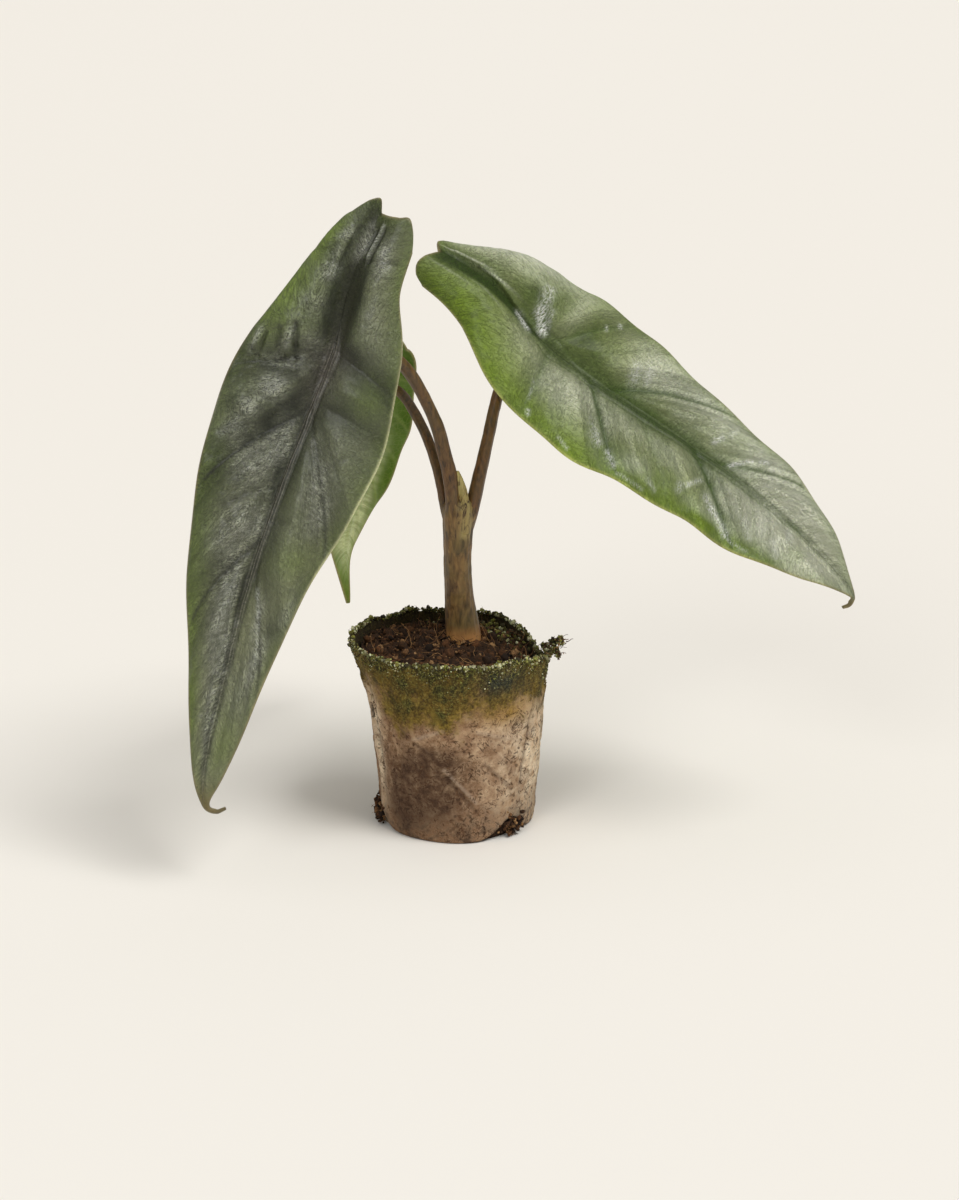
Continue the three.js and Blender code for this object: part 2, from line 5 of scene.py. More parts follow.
import bmesh
import bpy
import numpy as np
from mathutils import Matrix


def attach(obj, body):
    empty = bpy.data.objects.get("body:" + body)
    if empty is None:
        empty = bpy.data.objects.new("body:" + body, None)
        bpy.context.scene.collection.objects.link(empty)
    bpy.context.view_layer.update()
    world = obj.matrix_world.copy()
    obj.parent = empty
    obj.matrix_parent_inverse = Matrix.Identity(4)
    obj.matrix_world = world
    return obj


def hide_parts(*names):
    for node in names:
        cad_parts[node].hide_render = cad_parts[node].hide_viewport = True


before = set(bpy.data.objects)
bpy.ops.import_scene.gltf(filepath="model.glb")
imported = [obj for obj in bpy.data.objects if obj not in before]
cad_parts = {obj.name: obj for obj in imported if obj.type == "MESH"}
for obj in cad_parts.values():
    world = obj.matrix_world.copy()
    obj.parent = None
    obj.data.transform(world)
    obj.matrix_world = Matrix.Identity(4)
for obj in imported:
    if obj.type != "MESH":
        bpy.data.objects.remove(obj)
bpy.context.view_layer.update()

# Everything below is worked out in millimetres and turned into metres where a mesh is made
MM = 0.001
TAU = 2 * math.pi
GAP = 0.3

# Small tools


def rise(t):
    return np.exp(-np.square(t))


def mix(a, b, t):
    return a + (b - a) * t


def step(low, high, x):
    """0 below low, 1 above high and a smooth rise between them."""
    t = np.clip((np.asarray(x, float) - low) / (high - low), 0, 1)
    return t * t * (3 - 2 * t)


def unit(v):
    return v / np.maximum(np.linalg.norm(v, axis=-1, keepdims=True), 1e-12)


def smooth(values, t):
    """Height of a smooth line through the values at 0, 1, 2..., which runs on straight past both ends."""
    values = np.asarray(values, float)
    t = np.asarray(t, float)
    last = len(values) - 1
    i = np.clip(np.floor(t).astype(int), 0, last - 1)
    f = t - i
    if values.ndim > 1:
        f = f[..., None]
    line = np.concatenate([[2 * values[0] - values[1]], values, [2 * values[-1] - values[-2]]])
    a, b, c, d = (line[i + k] for k in range(4))
    return 0.5 * (2 * b + (c - a) * f + (2 * a - 5 * b + 4 * c - d) * f**2 + (3 * b - a - 3 * c + d) * f**3)


LATTICE_SIZE = 24
LATTICE = np.random.default_rng(11).uniform(-1, 1, (LATTICE_SIZE,) * 3)


def noise(points, size, octaves=1):
    """Smooth noise from about -1 to 1 with features of that size. Each octave is half as big and strong."""
    p = np.asarray(points, float) / size
    total, weight, amount = 0.0, 0.0, 1.0
    for _ in range(octaves):
        cell = np.floor(p).astype(int)
        f = p - cell
        f = f * f * (3 - 2 * f)
        for corner in np.ndindex(2, 2, 2):
            share = np.prod(np.where(corner, f, 1 - f), axis=-1)
            at = (cell + corner) % LATTICE_SIZE
            total = total + amount * share * LATTICE[at[..., 0], at[..., 1], at[..., 2]]
        weight += amount
        p = p * 2.03 + 5.7
        amount *= 0.5
    return 1.6 * total / weight


def add_piece(name, points, faces, materials, replaced=(), values=None, material_of=None):
    """A smooth mesh, in millimetres, that rides on the root. values are named numbers or vectors a point."""
    mesh = bpy.data.meshes.new(name)
    mesh.from_pydata((np.asarray(points, float) * MM).tolist(), [], [list(f) for f in faces])
    for material in materials:
        mesh.materials.append(material)
    if material_of is not None:
        mesh.polygons.foreach_set("material_index", np.asarray(material_of, np.int32))
    for key, data in (values or {}).items():
        data = np.asarray(data, np.float32)
        kind = "FLOAT_VECTOR" if data.ndim > 1 else "FLOAT"
        field = "vector" if data.ndim > 1 else "value"
        mesh.attributes.new(key, kind, "POINT").data.foreach_set(field, data.ravel())
    mesh.validate()
    mesh.shade_smooth()
    piece = bpy.data.objects.new(name, mesh)
    bpy.context.scene.collection.objects.link(piece)
    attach(piece, "root")
    if replaced:
        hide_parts(*replaced)
    return piece


def grid_faces(rows, columns, joined=False):
    """Quads of a grid of points; joined closes each row into a ring."""
    index = np.arange(rows * columns).reshape(rows, columns)
    if joined:
        index = np.concatenate([index, index[:, :1]], axis=1)
    quads = [index[:-1, :-1], index[:-1, 1:], index[1:, 1:], index[1:, :-1]]
    return np.stack([q.ravel() for q in quads], axis=1)


def merge(parts):
    """One set of points, faces and values from several (points, faces, values)."""
    points, faces, values, start = [], [], {}, 0
    for part_points, part_faces, part_values in parts:
        points.append(part_points)
        faces.extend([start + i for i in face] for face in part_faces)
        for key, data in part_values.items():
            values.setdefault(key, []).append(np.broadcast_to(data, (len(part_points),) + np.shape(data)[1:]))
        start += len(part_points)
    return np.concatenate(points), faces, {key: np.concatenate(data) for key, data in values.items()}


def capped_faces(rows, columns):
    """Faces of a grid whose rows are rings, closed at both ends by two more points that follow it."""
    faces = grid_faces(rows, columns, joined=True).tolist()
    last, count = (rows - 1) * columns, rows * columns
    for j in range(columns):
        k = (j + 1) % columns
        faces += [[k, j, count], [last + j, last + k, count + 1]]
    return faces


# A direction in which no bar starts
ASKEW = [0.3, 0.9, 0.1]


def tube(rows, sides, steps, extra=None):
    """Points and faces of a round bar through [x, y, z, radius] rows, closed by a point at both ends.
    extra, if given, is a function of (share of the length, angle) that adds to the radius."""
    rows = np.asarray(rows, float)
    t = np.linspace(0, len(rows) - 1, steps + 1)
    line = smooth(rows[:, :3], t)
    along = unit(np.gradient(line, axis=0))
    # A frame that turns as little as it can from ring to ring
    side = [unit(np.cross(along[0], ASKEW))]
    for direction in along[1:]:
        side.append(unit(side[-1] - direction * np.dot(side[-1], direction)))
    side = np.array(side)
    other = np.cross(along, side)
    angle = np.arange(sides) * TAU / sides
    radius = smooth(rows[:, 3], t)[:, None] * np.ones(sides)
    if extra:
        radius = radius + extra(np.linspace(0, 1, steps + 1)[:, None], angle[None, :])
    turned = side[:, None] * np.cos(angle)[None, :, None] + other[:, None] * np.sin(angle)[None, :, None]
    ring = line[:, None] + radius[..., None] * turned
    return np.concatenate([ring.reshape(-1, 3), line[:1], line[-1:]]), capped_faces(steps + 1, sides)


# How far a clod strays from a ball, and how far it is flattened or drawn out
CLOD_ROUGH = 0.45
CLOD_FLAT = 0.3


def ball(level):
    """Points and faces of a round crumb before it is roughened."""
    shape = bmesh.new()
    bmesh.ops.create_icosphere(shape, subdivisions=level, radius=1.0)
    points = np.array([v.co[:] for v in shape.verts])
    faces = np.array([[v.index for v in f.verts] for f in shape.faces])
    shape.free()
    return points, faces


def crumbs(places, radii, rng, level):
    """Rough little clods at the places: points, faces and a random grain from 0 to 1 a clod."""
    base, faces = ball(level)
    parts = []
    for place, radius in zip(places, radii):
        turn = np.linalg.qr(rng.normal(size=(3, 3)))[0]
        shape = base * (1 + CLOD_ROUGH * noise(base + rng.uniform(0, 20, 3), 0.8, 2)[:, None])
        shape = shape * rng.uniform(1 - CLOD_FLAT, 1 + CLOD_FLAT, 3)
        parts.append((place + radius * shape @ turn, faces, {"grain": np.full(len(base), rng.random())}))
    return merge(parts)


# Materials


def colour(code):
    """A colour code such as "7e5d44" in Blender's linear numbers. Anything else passes through."""
    if not isinstance(code, str):
        return code
    parts = (int(code[i : i + 2], 16) / 255 for i in (0, 2, 4))
    return (*(((c + 0.055) / 1.055) ** 2.4 if c > 0.04 else c / 12.92 for c in parts), 1.0)


class Graph:
    """A material's node tree, with one short call for each node. A text in the place of a number names an
    attribute of the mesh, and in the place of a colour it is a colour code."""

    def __init__(self, name, roughness, **settings):
        self.material = bpy.data.materials.new(name)
        self.material.use_nodes = True
        self.tree = self.material.node_tree
        self.shader = self.tree.nodes["Principled BSDF"]
        # The colour so far
        self.shade = None
        for key, value in {"Roughness": roughness, **settings}.items():
            self.shader.inputs[key.replace("_", " ")].default_value = value

    def node(self, kind, inputs, **settings):
        made = self.tree.nodes.new(kind)
        for key, value in settings.items():
            setattr(made, key, value)
        for key, value in inputs.items():
            if isinstance(value, str):
                value = self.attribute(value, "Fac")
            if isinstance(value, bpy.types.NodeSocket):
                self.tree.links.new(value, made.inputs[key])
            else:
                made.inputs[key].default_value = value
        return made

    def attribute(self, name, output="Vector"):
        return self.node("ShaderNodeAttribute", {}, attribute_name=name).outputs[output]

    def place(self, x=1000.0, y=1000.0, z=1000.0):
        """The point on the object, in millimetres where the scale is 1000."""
        return self.stretched(self.node("ShaderNodeTexCoord", {}).outputs["Object"], x, y, z)

    def stretched(self, vector, x, y=1.0, z=1.0):
        return self.node("ShaderNodeMapping", {"Vector": vector, "Scale": (x, y, z)}).outputs["Vector"]

    def turned(self, vector, degrees, long, wide):
        """A vector in which features run on that far along a turned direction and that far across it."""
        turn = (0.0, 0.0, math.radians(degrees))
        inputs = {"Vector": vector, "Rotation": turn, "Scale": (long, wide, 1.0)}
        return self.node("ShaderNodeMapping", inputs, vector_type="TEXTURE").outputs["Vector"]

    def noise(self, vector, size, detail=2.0, roughness=0.5, distortion=0.0, output="Fac"):
        settings = {"Vector": vector, "Scale": 1 / size, "Detail": detail, "Roughness": roughness}
        return self.node("ShaderNodeTexNoise", {**settings, "Distortion": distortion}).outputs[output]

    def cells(self, vector, size, feature="F1"):
        made = self.node("ShaderNodeTexVoronoi", {"Vector": vector, "Scale": 1 / size}, feature=feature)
        return made.outputs["Distance"]

    def ramp(self, factor, *stops):
        """Colours at stops from 0 to 1."""
        made = self.node("ShaderNodeValToRGB", {"Fac": factor})
        elements = made.color_ramp.elements
        while len(elements) < len(stops):
            elements.new(0.5)
        for element, (at, shade) in zip(elements, stops):
            element.position = at
            element.color = colour(shade)
        return made.outputs["Color"]

    def range(self, value, low, high, to_low=0.0, to_high=1.0):
        settings = {"Value": value, "From Min": low, "From Max": high, "To Min": to_low, "To Max": to_high}
        return self.node("ShaderNodeMapRange", settings).outputs["Result"]

    def mix(self, factor, a, b, blend="MIX"):
        inputs = {0: factor, 6: colour(a), 7: colour(b)}
        return self.node("ShaderNodeMix", inputs, data_type="RGBA", blend_type=blend).outputs[2]

    def math(self, operation, a, b=0.0):
        return self.node("ShaderNodeMath", {0: a, 1: b}, operation=operation).outputs[0]

    def times(self, first, *others):
        for other in others:
            first = self.math("MULTIPLY", first, other)
        return first

    def over(self, shade, *strength):
        """Lays a colour over the colour so far, as strongly as the product of these."""
        self.shade = self.mix(self.times(*strength), self.shade, shade)

    def gloss(self, roughness):
        self.tree.links.new(roughness, self.shader.inputs["Roughness"])

    def done(self, *layers):
        """The material with its colour and layers of bumps: (height from 0 to 1, depth in millimetres)."""
        self.tree.links.new(self.shade, self.shader.inputs["Base Color"])
        inputs = {}
        for height, depth in layers:
            inputs.update({"Height": height, "Distance": depth * MM, "Strength": 1.0})
            inputs["Normal"] = self.node("ShaderNodeBump", inputs).outputs["Normal"]
        self.tree.links.new(inputs["Normal"], self.shader.inputs["Normal"])
        return self.material


# Leaves. The form is the same as the solids': a midline of stations, two half-widths, and an arched section.

BLADE = 0.7
MIDRIB_DEPTH = 1.3
MIDRIB_SPREAD = 1.1
MIDRIB_TAPER = 0.6
STATION_LENGTH = 19
BULGE_REACH = 4
BASAL_SHARE = 0.6
VALLEY_BLEND = 4
FULL_RELIEF_WIDTH = 9
WAVE_RATE = 5.2
WAVE_SHIFT = 2.1
BASAL_POWER = 0.7
SEAT = 2
# Stands for a vein that is out of reach
FAR = 1e3
# A section that bends less than this, in radians, counts as bending by this much
STRAIGHT = 1e-4


def station(place, half, angles, roll=0):
    """A station of a leaf: its place on the midline, the half-widths of both sides, the angles at which each
    side leaves the midline and ends, and the roll in degrees."""
    return {"place": place, "half": half, "angles": angles, "roll": roll}


def hundredths(rows):
    """Rows of numbers that are written as whole hundredths."""
    return np.array(rows) / 100


LEFT_LEAF = SimpleNamespace(
    facing=[-0.15, -0.93, 0.32],
    stations=[
        station([-17.5, -14, 159.5], [7, 11.2], [45, -40, 45, -40]),
        station([-24.5, -18, 144], [14, 13.5], [45, -40, 45, -40]),
        station([-29, -23, 128], [20.8, 17.5], [25, -20, 25, -20]),
        station([-36, -28, 111], [22.5, 20.5], [12, -12, 12, -12]),
        station([-43, -33, 94], [20.3, 18.7], [10, -12, 10, -12]),
        station([-49.5, -38, 74], [15.8, 13.6], [10, -12, 10, -12]),
        station([-55, -43, 51.5], [9.7, 9], [10, -10, 10, -10]),
        station([-60, -47, 31.5], [3.8, 5.5], [15, 0, 15, 0]),
        station([-60.5, -48, 22], [1, 1.2], [10, 0, 10, 0]),
        station([-58, -48.5, 20], [0.6, 0.6], [0, 0, 0, 0]),
        station([-55.5, -49, 21], [0.4, 0.4], [0, 0, 0, 0]),
    ],
    ends=[[0, -0.17, -0.15, 0, 0.45], [0, 0, -0.03, -0.06, 0.22]],
    veins=[
        [[2.05, 2.65, 0.8], [2.75, 4.2, 1], [3.6, 4.8, 0.4], [4.5, 5.6, 0.9], [5.7, 6.6, 0.6]],
        [[1.98, 2.3, 0.8], [2.68, 2.8, 0.6], [2.8, 4.55, 0.8], [4.75, 6.15, 0.8], [5.7, 7, 0.5]],
    ],
    basal=0.33,
    # Height of the wrinkles and of the bulges' own fine rise, on the first side and on the second
    wrinkle=(0.1, 0.05),
    # How strongly the fine wrinkles show in the skin's colour and bumps
    texture=(0.45, 0.3),
    swell=(0.5, 0.1),
    bulge=1.5,
    wave=0.6,
    # Short creases, and folds, which stand out and have a depth below 0. A row has the station and the place
    # across of one end, those of the other end, and the depth and half-width in millimetres
    creases=hundredths([
        [178, 52, 210, 42, 70, 70], [210, 42, 226, 37, 60, 70], [226, 37, 234, 50, 60, 45],
        [190, 67, 228, 56, 45, 70], [180, 60, 222, 50, -60, 80], [202, 87, 230, 84.5, -60, 70],
        [206, 79, 242, 76, 60, 50], [242, 77, 234, 87, 35, 40], [195, 30, 212, 24, -40, 120],
        [240, 30, 252, 65, 35, 70], [260, 12, 330, 45, 50, 130], [287, 32, 285, 55, 20, 50],
        [300, 50, 318, 72, 20, 50], [305, 72, 310, 60, -50, 160], [325, 55, 350, 85, 25, 60],
        [386, 6, 398, 22, 35, 60], [398, 22, 425, 60, 30, 60], [355, 8, 380, 10, 30, 100],
        [490, 8, 535, 9, 35, 100], [478, 16, 515, 42, -35, 130], [555, 30, 562, 60, 20, 60],
        [635, 12, 642, 80, 20, 70], [66, 62, 110, 36, 30, 90], [78, 95, 75, 60, 30, 80],
        [120, 75, 155, 45, 25, 100], [40, 60, 50, 46, -40, 130], [95, 50, 102, 38, -40, 110],
        [30, 10, 62, 4, -50, 160], [15, -24, 65, -19, -50, 50], [20, -30, 70, -26, 40, 50],
        [25, -15, 60, -13, 35, 60], [30, 40, 95, 30, 30, 60], [40, -62, 55, -40, -30, 140],
        [55, -78, 66, -42, 25, 90], [70, -66, 100, -50, -30, 160], [150, -40, 175, -30, -25, 200],
        [495, -17, 530, -38, -35, 70], [530, -38, 585, -72, -40, 100], [315, -16, 375, -50, -30, 90],
        [420, -28, 425, -8, 20, 60], [320, -62, 342, -45, 15, 70],
    ]),
    # The cleft between the lobes: the stations, its middle across and its half-width there
    cleft=[
        [0, 0.3, 0.6, 0.9, 1.2, 1.5, 1.8, 2],
        [0.06, 0.06, 0.04, -0.02, -0.05, -0.05, -0.04, -0.02],
        [0.3, 0.28, 0.25, 0.25, 0.23, 0.2, 0.14, 0.06],
    ],
    # Where the cleft's painted shade starts and is full
    cleft_shade_start=(0.55, 0.95),
    crest=0,
    tip=(7, 8.5),
    # Where the midrib's bundle strays from the middle, in millimetres a station
    drift=[0, 0, -0.1, -0.4, -0.6, 0.1, 0.6, 0.4, 0.1, 0, 0],
    bundle=0.95,
    vein_width=1.1,
    # Patches where the margin lets the light through. A row has the station, the place across, the reach
    # along and across, and the strength
    light_edge=hundredths([[360, -100, 140, 40, 100]]),
    # Patches of fresh green, of silver with painted sheen, and of painted shade
    fresh=hundredths([
        [130, 95, 75, 42, 100], [460, 100, 130, 30, 60], [630, 98, 100, 30, 90], [460, -62, 22, 30, 40],
        [670, -45, 60, 50, 50], [60, -97, 70, 16, 60], [245, -70, 25, 25, 40], [50, 85, 30, 20, 70],
    ]),
    silver_sheen=hundredths([
        [45, 8, 28, 15, 110], [40, -21, 30, 2, 120], [45, -49, 14, 13, 90], [70, -55, 20, 14, 80],
        [150, -55, 40, 15, 30], [45, 53, 15, 10, 70], [98, 44, 15, 13, 100], [72, 50, 8, 10, 70],
        [142, 42, 18, 25, 60], [200, 54, 28, 6, 90], [215, 86, 20, 3.5, 130], [200, 25, 16, 14, 60],
        [238, 50, 9, 30, 50], [269, 46, 17, 15, 130], [304, 61, 13, 12, 100], [335, 68, 20, 13, 90],
        [325, 15, 30, 12, 90], [362, 32, 30, 20, 120], [320, -20, 20, 10, 30], [375, 52, 20, 10, 60],
        [435, 25, 28, 30, 100], [465, 50, 20, 20, 70], [500, 27, 28, 14, 120], [540, 35, 30, 20, 80],
        [575, 25, 30, 25, 120], [620, 30, 30, 25, 70], [655, 25, 30, 20, 80], [360, -42, 30, 14, 80],
        [400, -60, 30, 14, 80], [530, -37, 20, 8, 90], [570, -60, 25, 16, 120], [520, -86, 20, 10, 90],
        [610, -50, 30, 35, 70], [235, -12, 25, 12, 30], [300, -50, 30, 25, 20], [700, 10, 50, 30, 50],
    ]),
    # Painted highlights: short pale streaks where the skin shines, as the creases are written
    glints=hundredths([
        [202, 85.5, 234, 86, 50, 40], [185, 53, 215, 50, 50, 50], [15, -25, 62, -20, 80, 40],
        [93, 40, 105, 43, 60, 120], [42, 50, 50, 58, 50, 100], [262, 40, 276, 50, 40, 110],
        [300, 55, 306, 62, 35, 80], [330, 66, 350, 84, 50, 90], [502, 20, 550, 36, 35, 80],
        [502, -20, 575, -62, 60, 50], [315, -20, 350, -36, 25, 50], [40, 2, 60, 8, 50, 110],
        [50, -48, 66, -58, 40, 120], [335, 12, 360, 20, 35, 120], [220, 30, 230, 42, 40, 60],
        [430, 10, 445, 20, 35, 100], [560, 20, 585, 24, 40, 90],
    ]),
    shade=hundredths([
        [120, -5, 50, 20, 60], [125, -27, 40, 10, 60], [35, -30, 30, 3, 70], [40, -14, 30, 3, 60],
        [60, 36, 40, 4, 60], [120, 27, 35, 7, 90], [165, 15, 25, 7, 100], [280, 18, 22, 10, 100],
        [315, 38, 20, 10, 100], [342, 53, 13, 8, 80], [310, 80, 15, 10, 50], [540, -68, 12, 15, 60],
        [250, 35, 7, 25, 60], [368, 8, 17, 4, 100], [512, 8, 27, 4, 100], [570, 10, 25, 4, 60],
        [250, -50, 35, 35, 35], [210, -30, 14, 25, 60], [325, -30, 12, 10, 40], [270, -30, 12, 25, 50],
        [350, -12, 35, 6, 50], [235, 10, 15, 8, 40], [198, -20, 14, 28, 90], [150, 20, 30, 6, 80],
        [100, -30, 35, 6, 60], [220, -80, 15, 25, 50], [450, -15, 40, 10, 30], [170, 75, 15, 10, 40],
        [230, 96, 40, 6, 60], [390, 50, 12, 12, 30], [485, 45, 10, 15, 40],
    ]),
    # Paler places, partly painted sheen: the lower part and the middle of the second side
    pale=hundredths([
        [560, 20, 100, 50, 30], [650, -20, 100, 120, 75], [800, 0, 120, 200, 90], [390, -50, 100, 35, 20],
        [550, -40, 50, 50, 40], [460, -75, 35, 25, 50], [120, -60, 70, 30, 30], [360, 35, 30, 25, 50],
        [440, 35, 35, 30, 65], [640, 60, 80, 40, 40],
    ]),
)
RIGHT_LEAF = SimpleNamespace(
    facing=[0.25, -0.65, 0.7],
    stations=[
        station([-4, 5, 146], [11.5, 7], [45, -50, 8, -95], 8),
        station([10, 2, 137], [15.8, 16.5], [45, -45, 45, -65], 4),
        station([21.5, -1, 124], [20.4, 22.6], [25, -20, 32, -38], 2),
        station([35.5, -4, 114], [22.9, 23.2], [12, -12, 15, -22]),
        station([49, -7, 106], [21.2, 18.9], [10, -12, 12, -15]),
        station([63.5, -9, 96.5], [19.8, 15], [10, -12, 10, -12]),
        station([77, -11, 85.5], [17.3, 13.2], [10, -10, 10, -10]),
        station([88.5, -12, 74.5], [10.4, 7.8], [15, 0, 15, 0]),
        station([97.5, -13, 64.5], [1.8, 1], [10, 0, 10, 0]),
        station([97.5, -13.5, 61.5], [0.6, 0.6], [0, 0, 0, 0]),
        station([95.5, -14, 60.5], [0.4, 0.4], [0, 0, 0, 0]),
    ],
    ends=[[0, -0.06, -0.13, -0.14, -0.02], [0, -0.1, -0.1, 0, 0.3]],
    veins=[
        [[2.1, 2.35, 0.7], [2.8, 3.98, 1], [3.65, 4.85, 0.5], [4.6, 6, 1], [5.6, 6.35, 0.5]],
        [[2, 2.95, 0.7], [3.1, 5, 0.9], [4.1, 5.6, 0.4], [5.05, 6.35, 0.9], [6.1, 7, 0.3]],
    ],
    basal=0.25,
    wrinkle=(0.05, 0.05),
    texture=(0.85, 0.75),
    swell=(0.15, 0.2),
    bulge=1.2,
    wave=0.5,
    creases=hundredths([
        [135, -35, 195, -10, 40, 110], [130, -55, 160, -20, -35, 100], [240, 40, 270, 75, 20, 120],
        [420, -15, 460, -50, -25, 140], [600, 15, 650, 50, -25, 150], [530, -20, 580, -50, -20, 120],
        [340, 35, 370, 75, 20, 100], [20, -23.5, 60, -18, -50, 60], [60, -18, 130, -7, -50, 50],
        [130, -7, 185, -5, -30, 40], [20, 34, 90, 31, -30, 120], [635, -3, 660, -4, 40, 90],
        [497, 12, 510, 35, 30, 70],
    ]),
    cleft=[
        [0, 0.3, 0.6, 0.9, 1.2, 1.5, 1.8, 2],
        [0.15, 0.14, 0.12, 0.11, 0.08, 0.05, 0.02, 0],
        [0.29, 0.28, 0.24, 0.19, 0.14, 0.08, 0.05, 0.03],
    ],
    cleft_shade_start=(-0.3, 0.15),
    crest=0,
    tip=(8.2, 9),
    drift=[0, 0, 0, 0.7, 1.2, 1.3, 0.3, -0.3, 0, 0, 0],
    bundle=1.35,
    vein_width=1.4,
    light_edge=hundredths([[360, 100, 320, 40, 90]]),
    fresh=hundredths([
        [50, 85, 80, 45, 100], [160, 100, 90, 36, 95], [280, 98, 80, 28, 80], [400, 100, 100, 26, 90],
        [540, 100, 100, 24, 100], [620, 95, 70, 20, 60], [520, -60, 25, 40, 30], [450, 65, 20, 15, 40],
        [675, 55, 15, 20, 40],
    ]),
    silver_sheen=hundredths([
        [260, 35, 50, 30, 60], [170, 30, 35, 20, 40], [360, 30, 50, 20, 50], [450, 35, 40, 25, 40],
        [570, 30, 40, 25, 90], [600, -30, 30, 35, 90], [630, 40, 15, 30, 100], [655, 30, 15, 30, 100],
        [680, -20, 50, 60, 90], [760, 0, 70, 100, 100], [430, -40, 30, 30, 40], [350, -50, 40, 30, 30],
        [60, -50, 50, 25, 30],
    ]),
    shade=hundredths([
        [160, -42, 32, 32, 80], [265, -17, 35, 17, 100], [320, -10, 30, 8, 60], [245, -40, 12, 30, 40],
        [130, -25, 30, 12, 50], [390, -10, 50, 10, 40], [90, 35, 50, 30, 50], [220, 50, 12, 40, 40],
        [320, 42, 15, 20, 50], [375, 75, 20, 12, 70], [515, 38, 12, 14, 60], [550, 63, 15, 10, 70],
        [650, -4, 20, 6, 90], [40, -30, 40, 5, 50], [410, -70, 30, 10, 30], [500, -5, 80, 6, 60],
        [240, -15, 20, 25, 90], [360, -6, 80, 4, 60], [50, 85, 80, 20, 30], [390, 16, 50, 12, 75],
        [558, -55, 10, 30, 50], [95, 95, 50, 15, 60], [560, 12, 40, 5, 50],
    ]),
    pale=hundredths([
        [720, 0, 120, 200, 100], [840, 0, 100, 300, 90], [40, -75, 60, 25, 45], [15, -24, 20, 2, 70],
        [50, -21, 25, 2, 60], [90, -15, 30, 2, 50], [30, 45, 40, 3, 50], [90, 34, 30, 3, 40],
        [560, -60, 110, 45, 70], [440, -80, 100, 30, 50], [120, -95, 120, 25, 50], [100, -72, 70, 30, 40],
        [320, 30, 90, 25, 30], [260, 40, 50, 30, 30], [600, 30, 80, 40, 60], [400, 75, 30, 12, 70],
        [530, 82, 35, 10, 70], [660, 85, 20, 10, 50], [205, -50, 20, 30, 30], [660, -50, 70, 60, 50],
        [360, -60, 50, 30, 40],
    ]),
    glints=hundredths([
        [390, 92, 430, 93, 40, 50], [290, 90, 310, 93, 40, 50], [575, 86, 610, 90, 40, 50],
        [430, 80, 445, 86, 40, 70], [145, -46, 162, -22, 60, 150], [160, -22, 185, -8, 100, 100],
        [172, -30, 190, -10, 50, 80], [145, 2, 165, 8, 90, 120], [272, -80, 274, -76, 90, 50],
        [256, -64, 260, -58, 60, 40], [330, -42, 335, -30, 50, 170], [350, -50, 355, -40, 50, 150],
        [332, 62, 342, 68, 70, 140], [362, 72, 380, 84, 60, 100], [315, 48, 325, 56, 30, 120],
        [490, -40, 484, -24, 70, 70], [502, -75, 498, -55, 40, 60], [520, -12, 532, -30, 100, 50],
        [536, -38, 542, -45, 80, 50], [552, -56, 560, -66, 90, 50], [495, 42, 482, 60, 70, 70],
        [472, 64, 476, 72, 50, 80], [515, 58, 530, 66, 60, 130], [535, 66, 570, 82, 80, 110],
        [220, 55, 230, 78, 30, 35], [238, 88, 240, 92, 80, 50], [645, 20, 650, 40, 40, 140],
        [630, 55, 650, 80, 35, 80], [580, 50, 600, 70, 35, 100],
    ]),
)
REAR_LEAF = SimpleNamespace(
    facing=[-0.4, 0.8, 0.45],
    stations=[
        station([-18, 22, 121], [4.5, 6], [35, -25, 35, -25]),
        station([-18.7, 27, 114.5], [7, 11], [35, -25, 35, -25]),
        station([-20, 32, 108.5], [10.8, 14], [25, -15, 25, -15]),
        station([-23, 46, 91], [13, 14], [18, -10, 18, -10]),
        station([-26, 58, 75.5], [12.2, 12], [18, -10, 18, -10]),
        station([-29, 68, 60], [7.5, 8], [18, -10, 18, -10]),
        station([-31, 75, 46.5], [2.3, 3.5], [20, 0, 20, 0]),
        station([-30.3, 78, 31.8], [0.6, 0.6], [10, 0, 10, 0]),
    ],
    ends=[[0, -0.1, 0, 0.3, 0.9], [0, -0.2, -0.3, -0.1, 0.4]],
    veins=[
        [[2, 2.5, 0.8], [2.4, 3.4, 0.8], [3, 4.2, 0.7], [3.8, 5, 0.8], [4.7, 5.9, 0.6]],
        [[2, 2.5, 0.8], [2.5, 3.5, 0.8], [3.1, 4.3, 0.7], [3.9, 5.1, 0.8], [4.8, 6, 0.6]],
    ],
    basal=0.33,
    wrinkle=(0.05, 0.05),
    texture=(0.7, 0.7),
    swell=(0.1, 0.1),
    bulge=0.8,
    wave=0.6,
    creases=hundredths([]),
    cleft=[[0, 1, 2], [0, 0, 0], [0.3, 0.2, 0.05]],
    cleft_shade_start=(0, 0.5),
    crest=0.1,
    tip=(6.3, 7),
    drift=[0, 0, 0, 0, 0, 0, 0, 0],
    bundle=0.8,
    vein_width=1.2,
    light_edge=hundredths([]),
    shade=hundredths([]),
    glints=hundredths([]),
    fresh=hundredths([[200, 60, 200, 90, 100], [200, -60, 150, 60, 80], [390, 95, 130, 30, 100]]),
    silver_sheen=hundredths([[300, 0, 250, 60, 50]]),
    pale=hundredths([
        [570, 20, 60, 120, 100], [495, 40, 35, 30, 90], [410, 50, 70, 16, 60], [460, -30, 80, 50, 50],
    ]),
)


def table(form, key):
    return np.array([s[key] for s in form.stations], float)


def two_sides(form, key, u, b, first, second):
    """A value of each half of the leaf, at station u."""
    values = table(form, key)
    return np.where(b >= 0, smooth(values[:, first], u), smooth(values[:, second], u))


def half_width(form, u, b):
    return np.maximum(0.4, two_sides(form, "half", u, b, 0, 1))


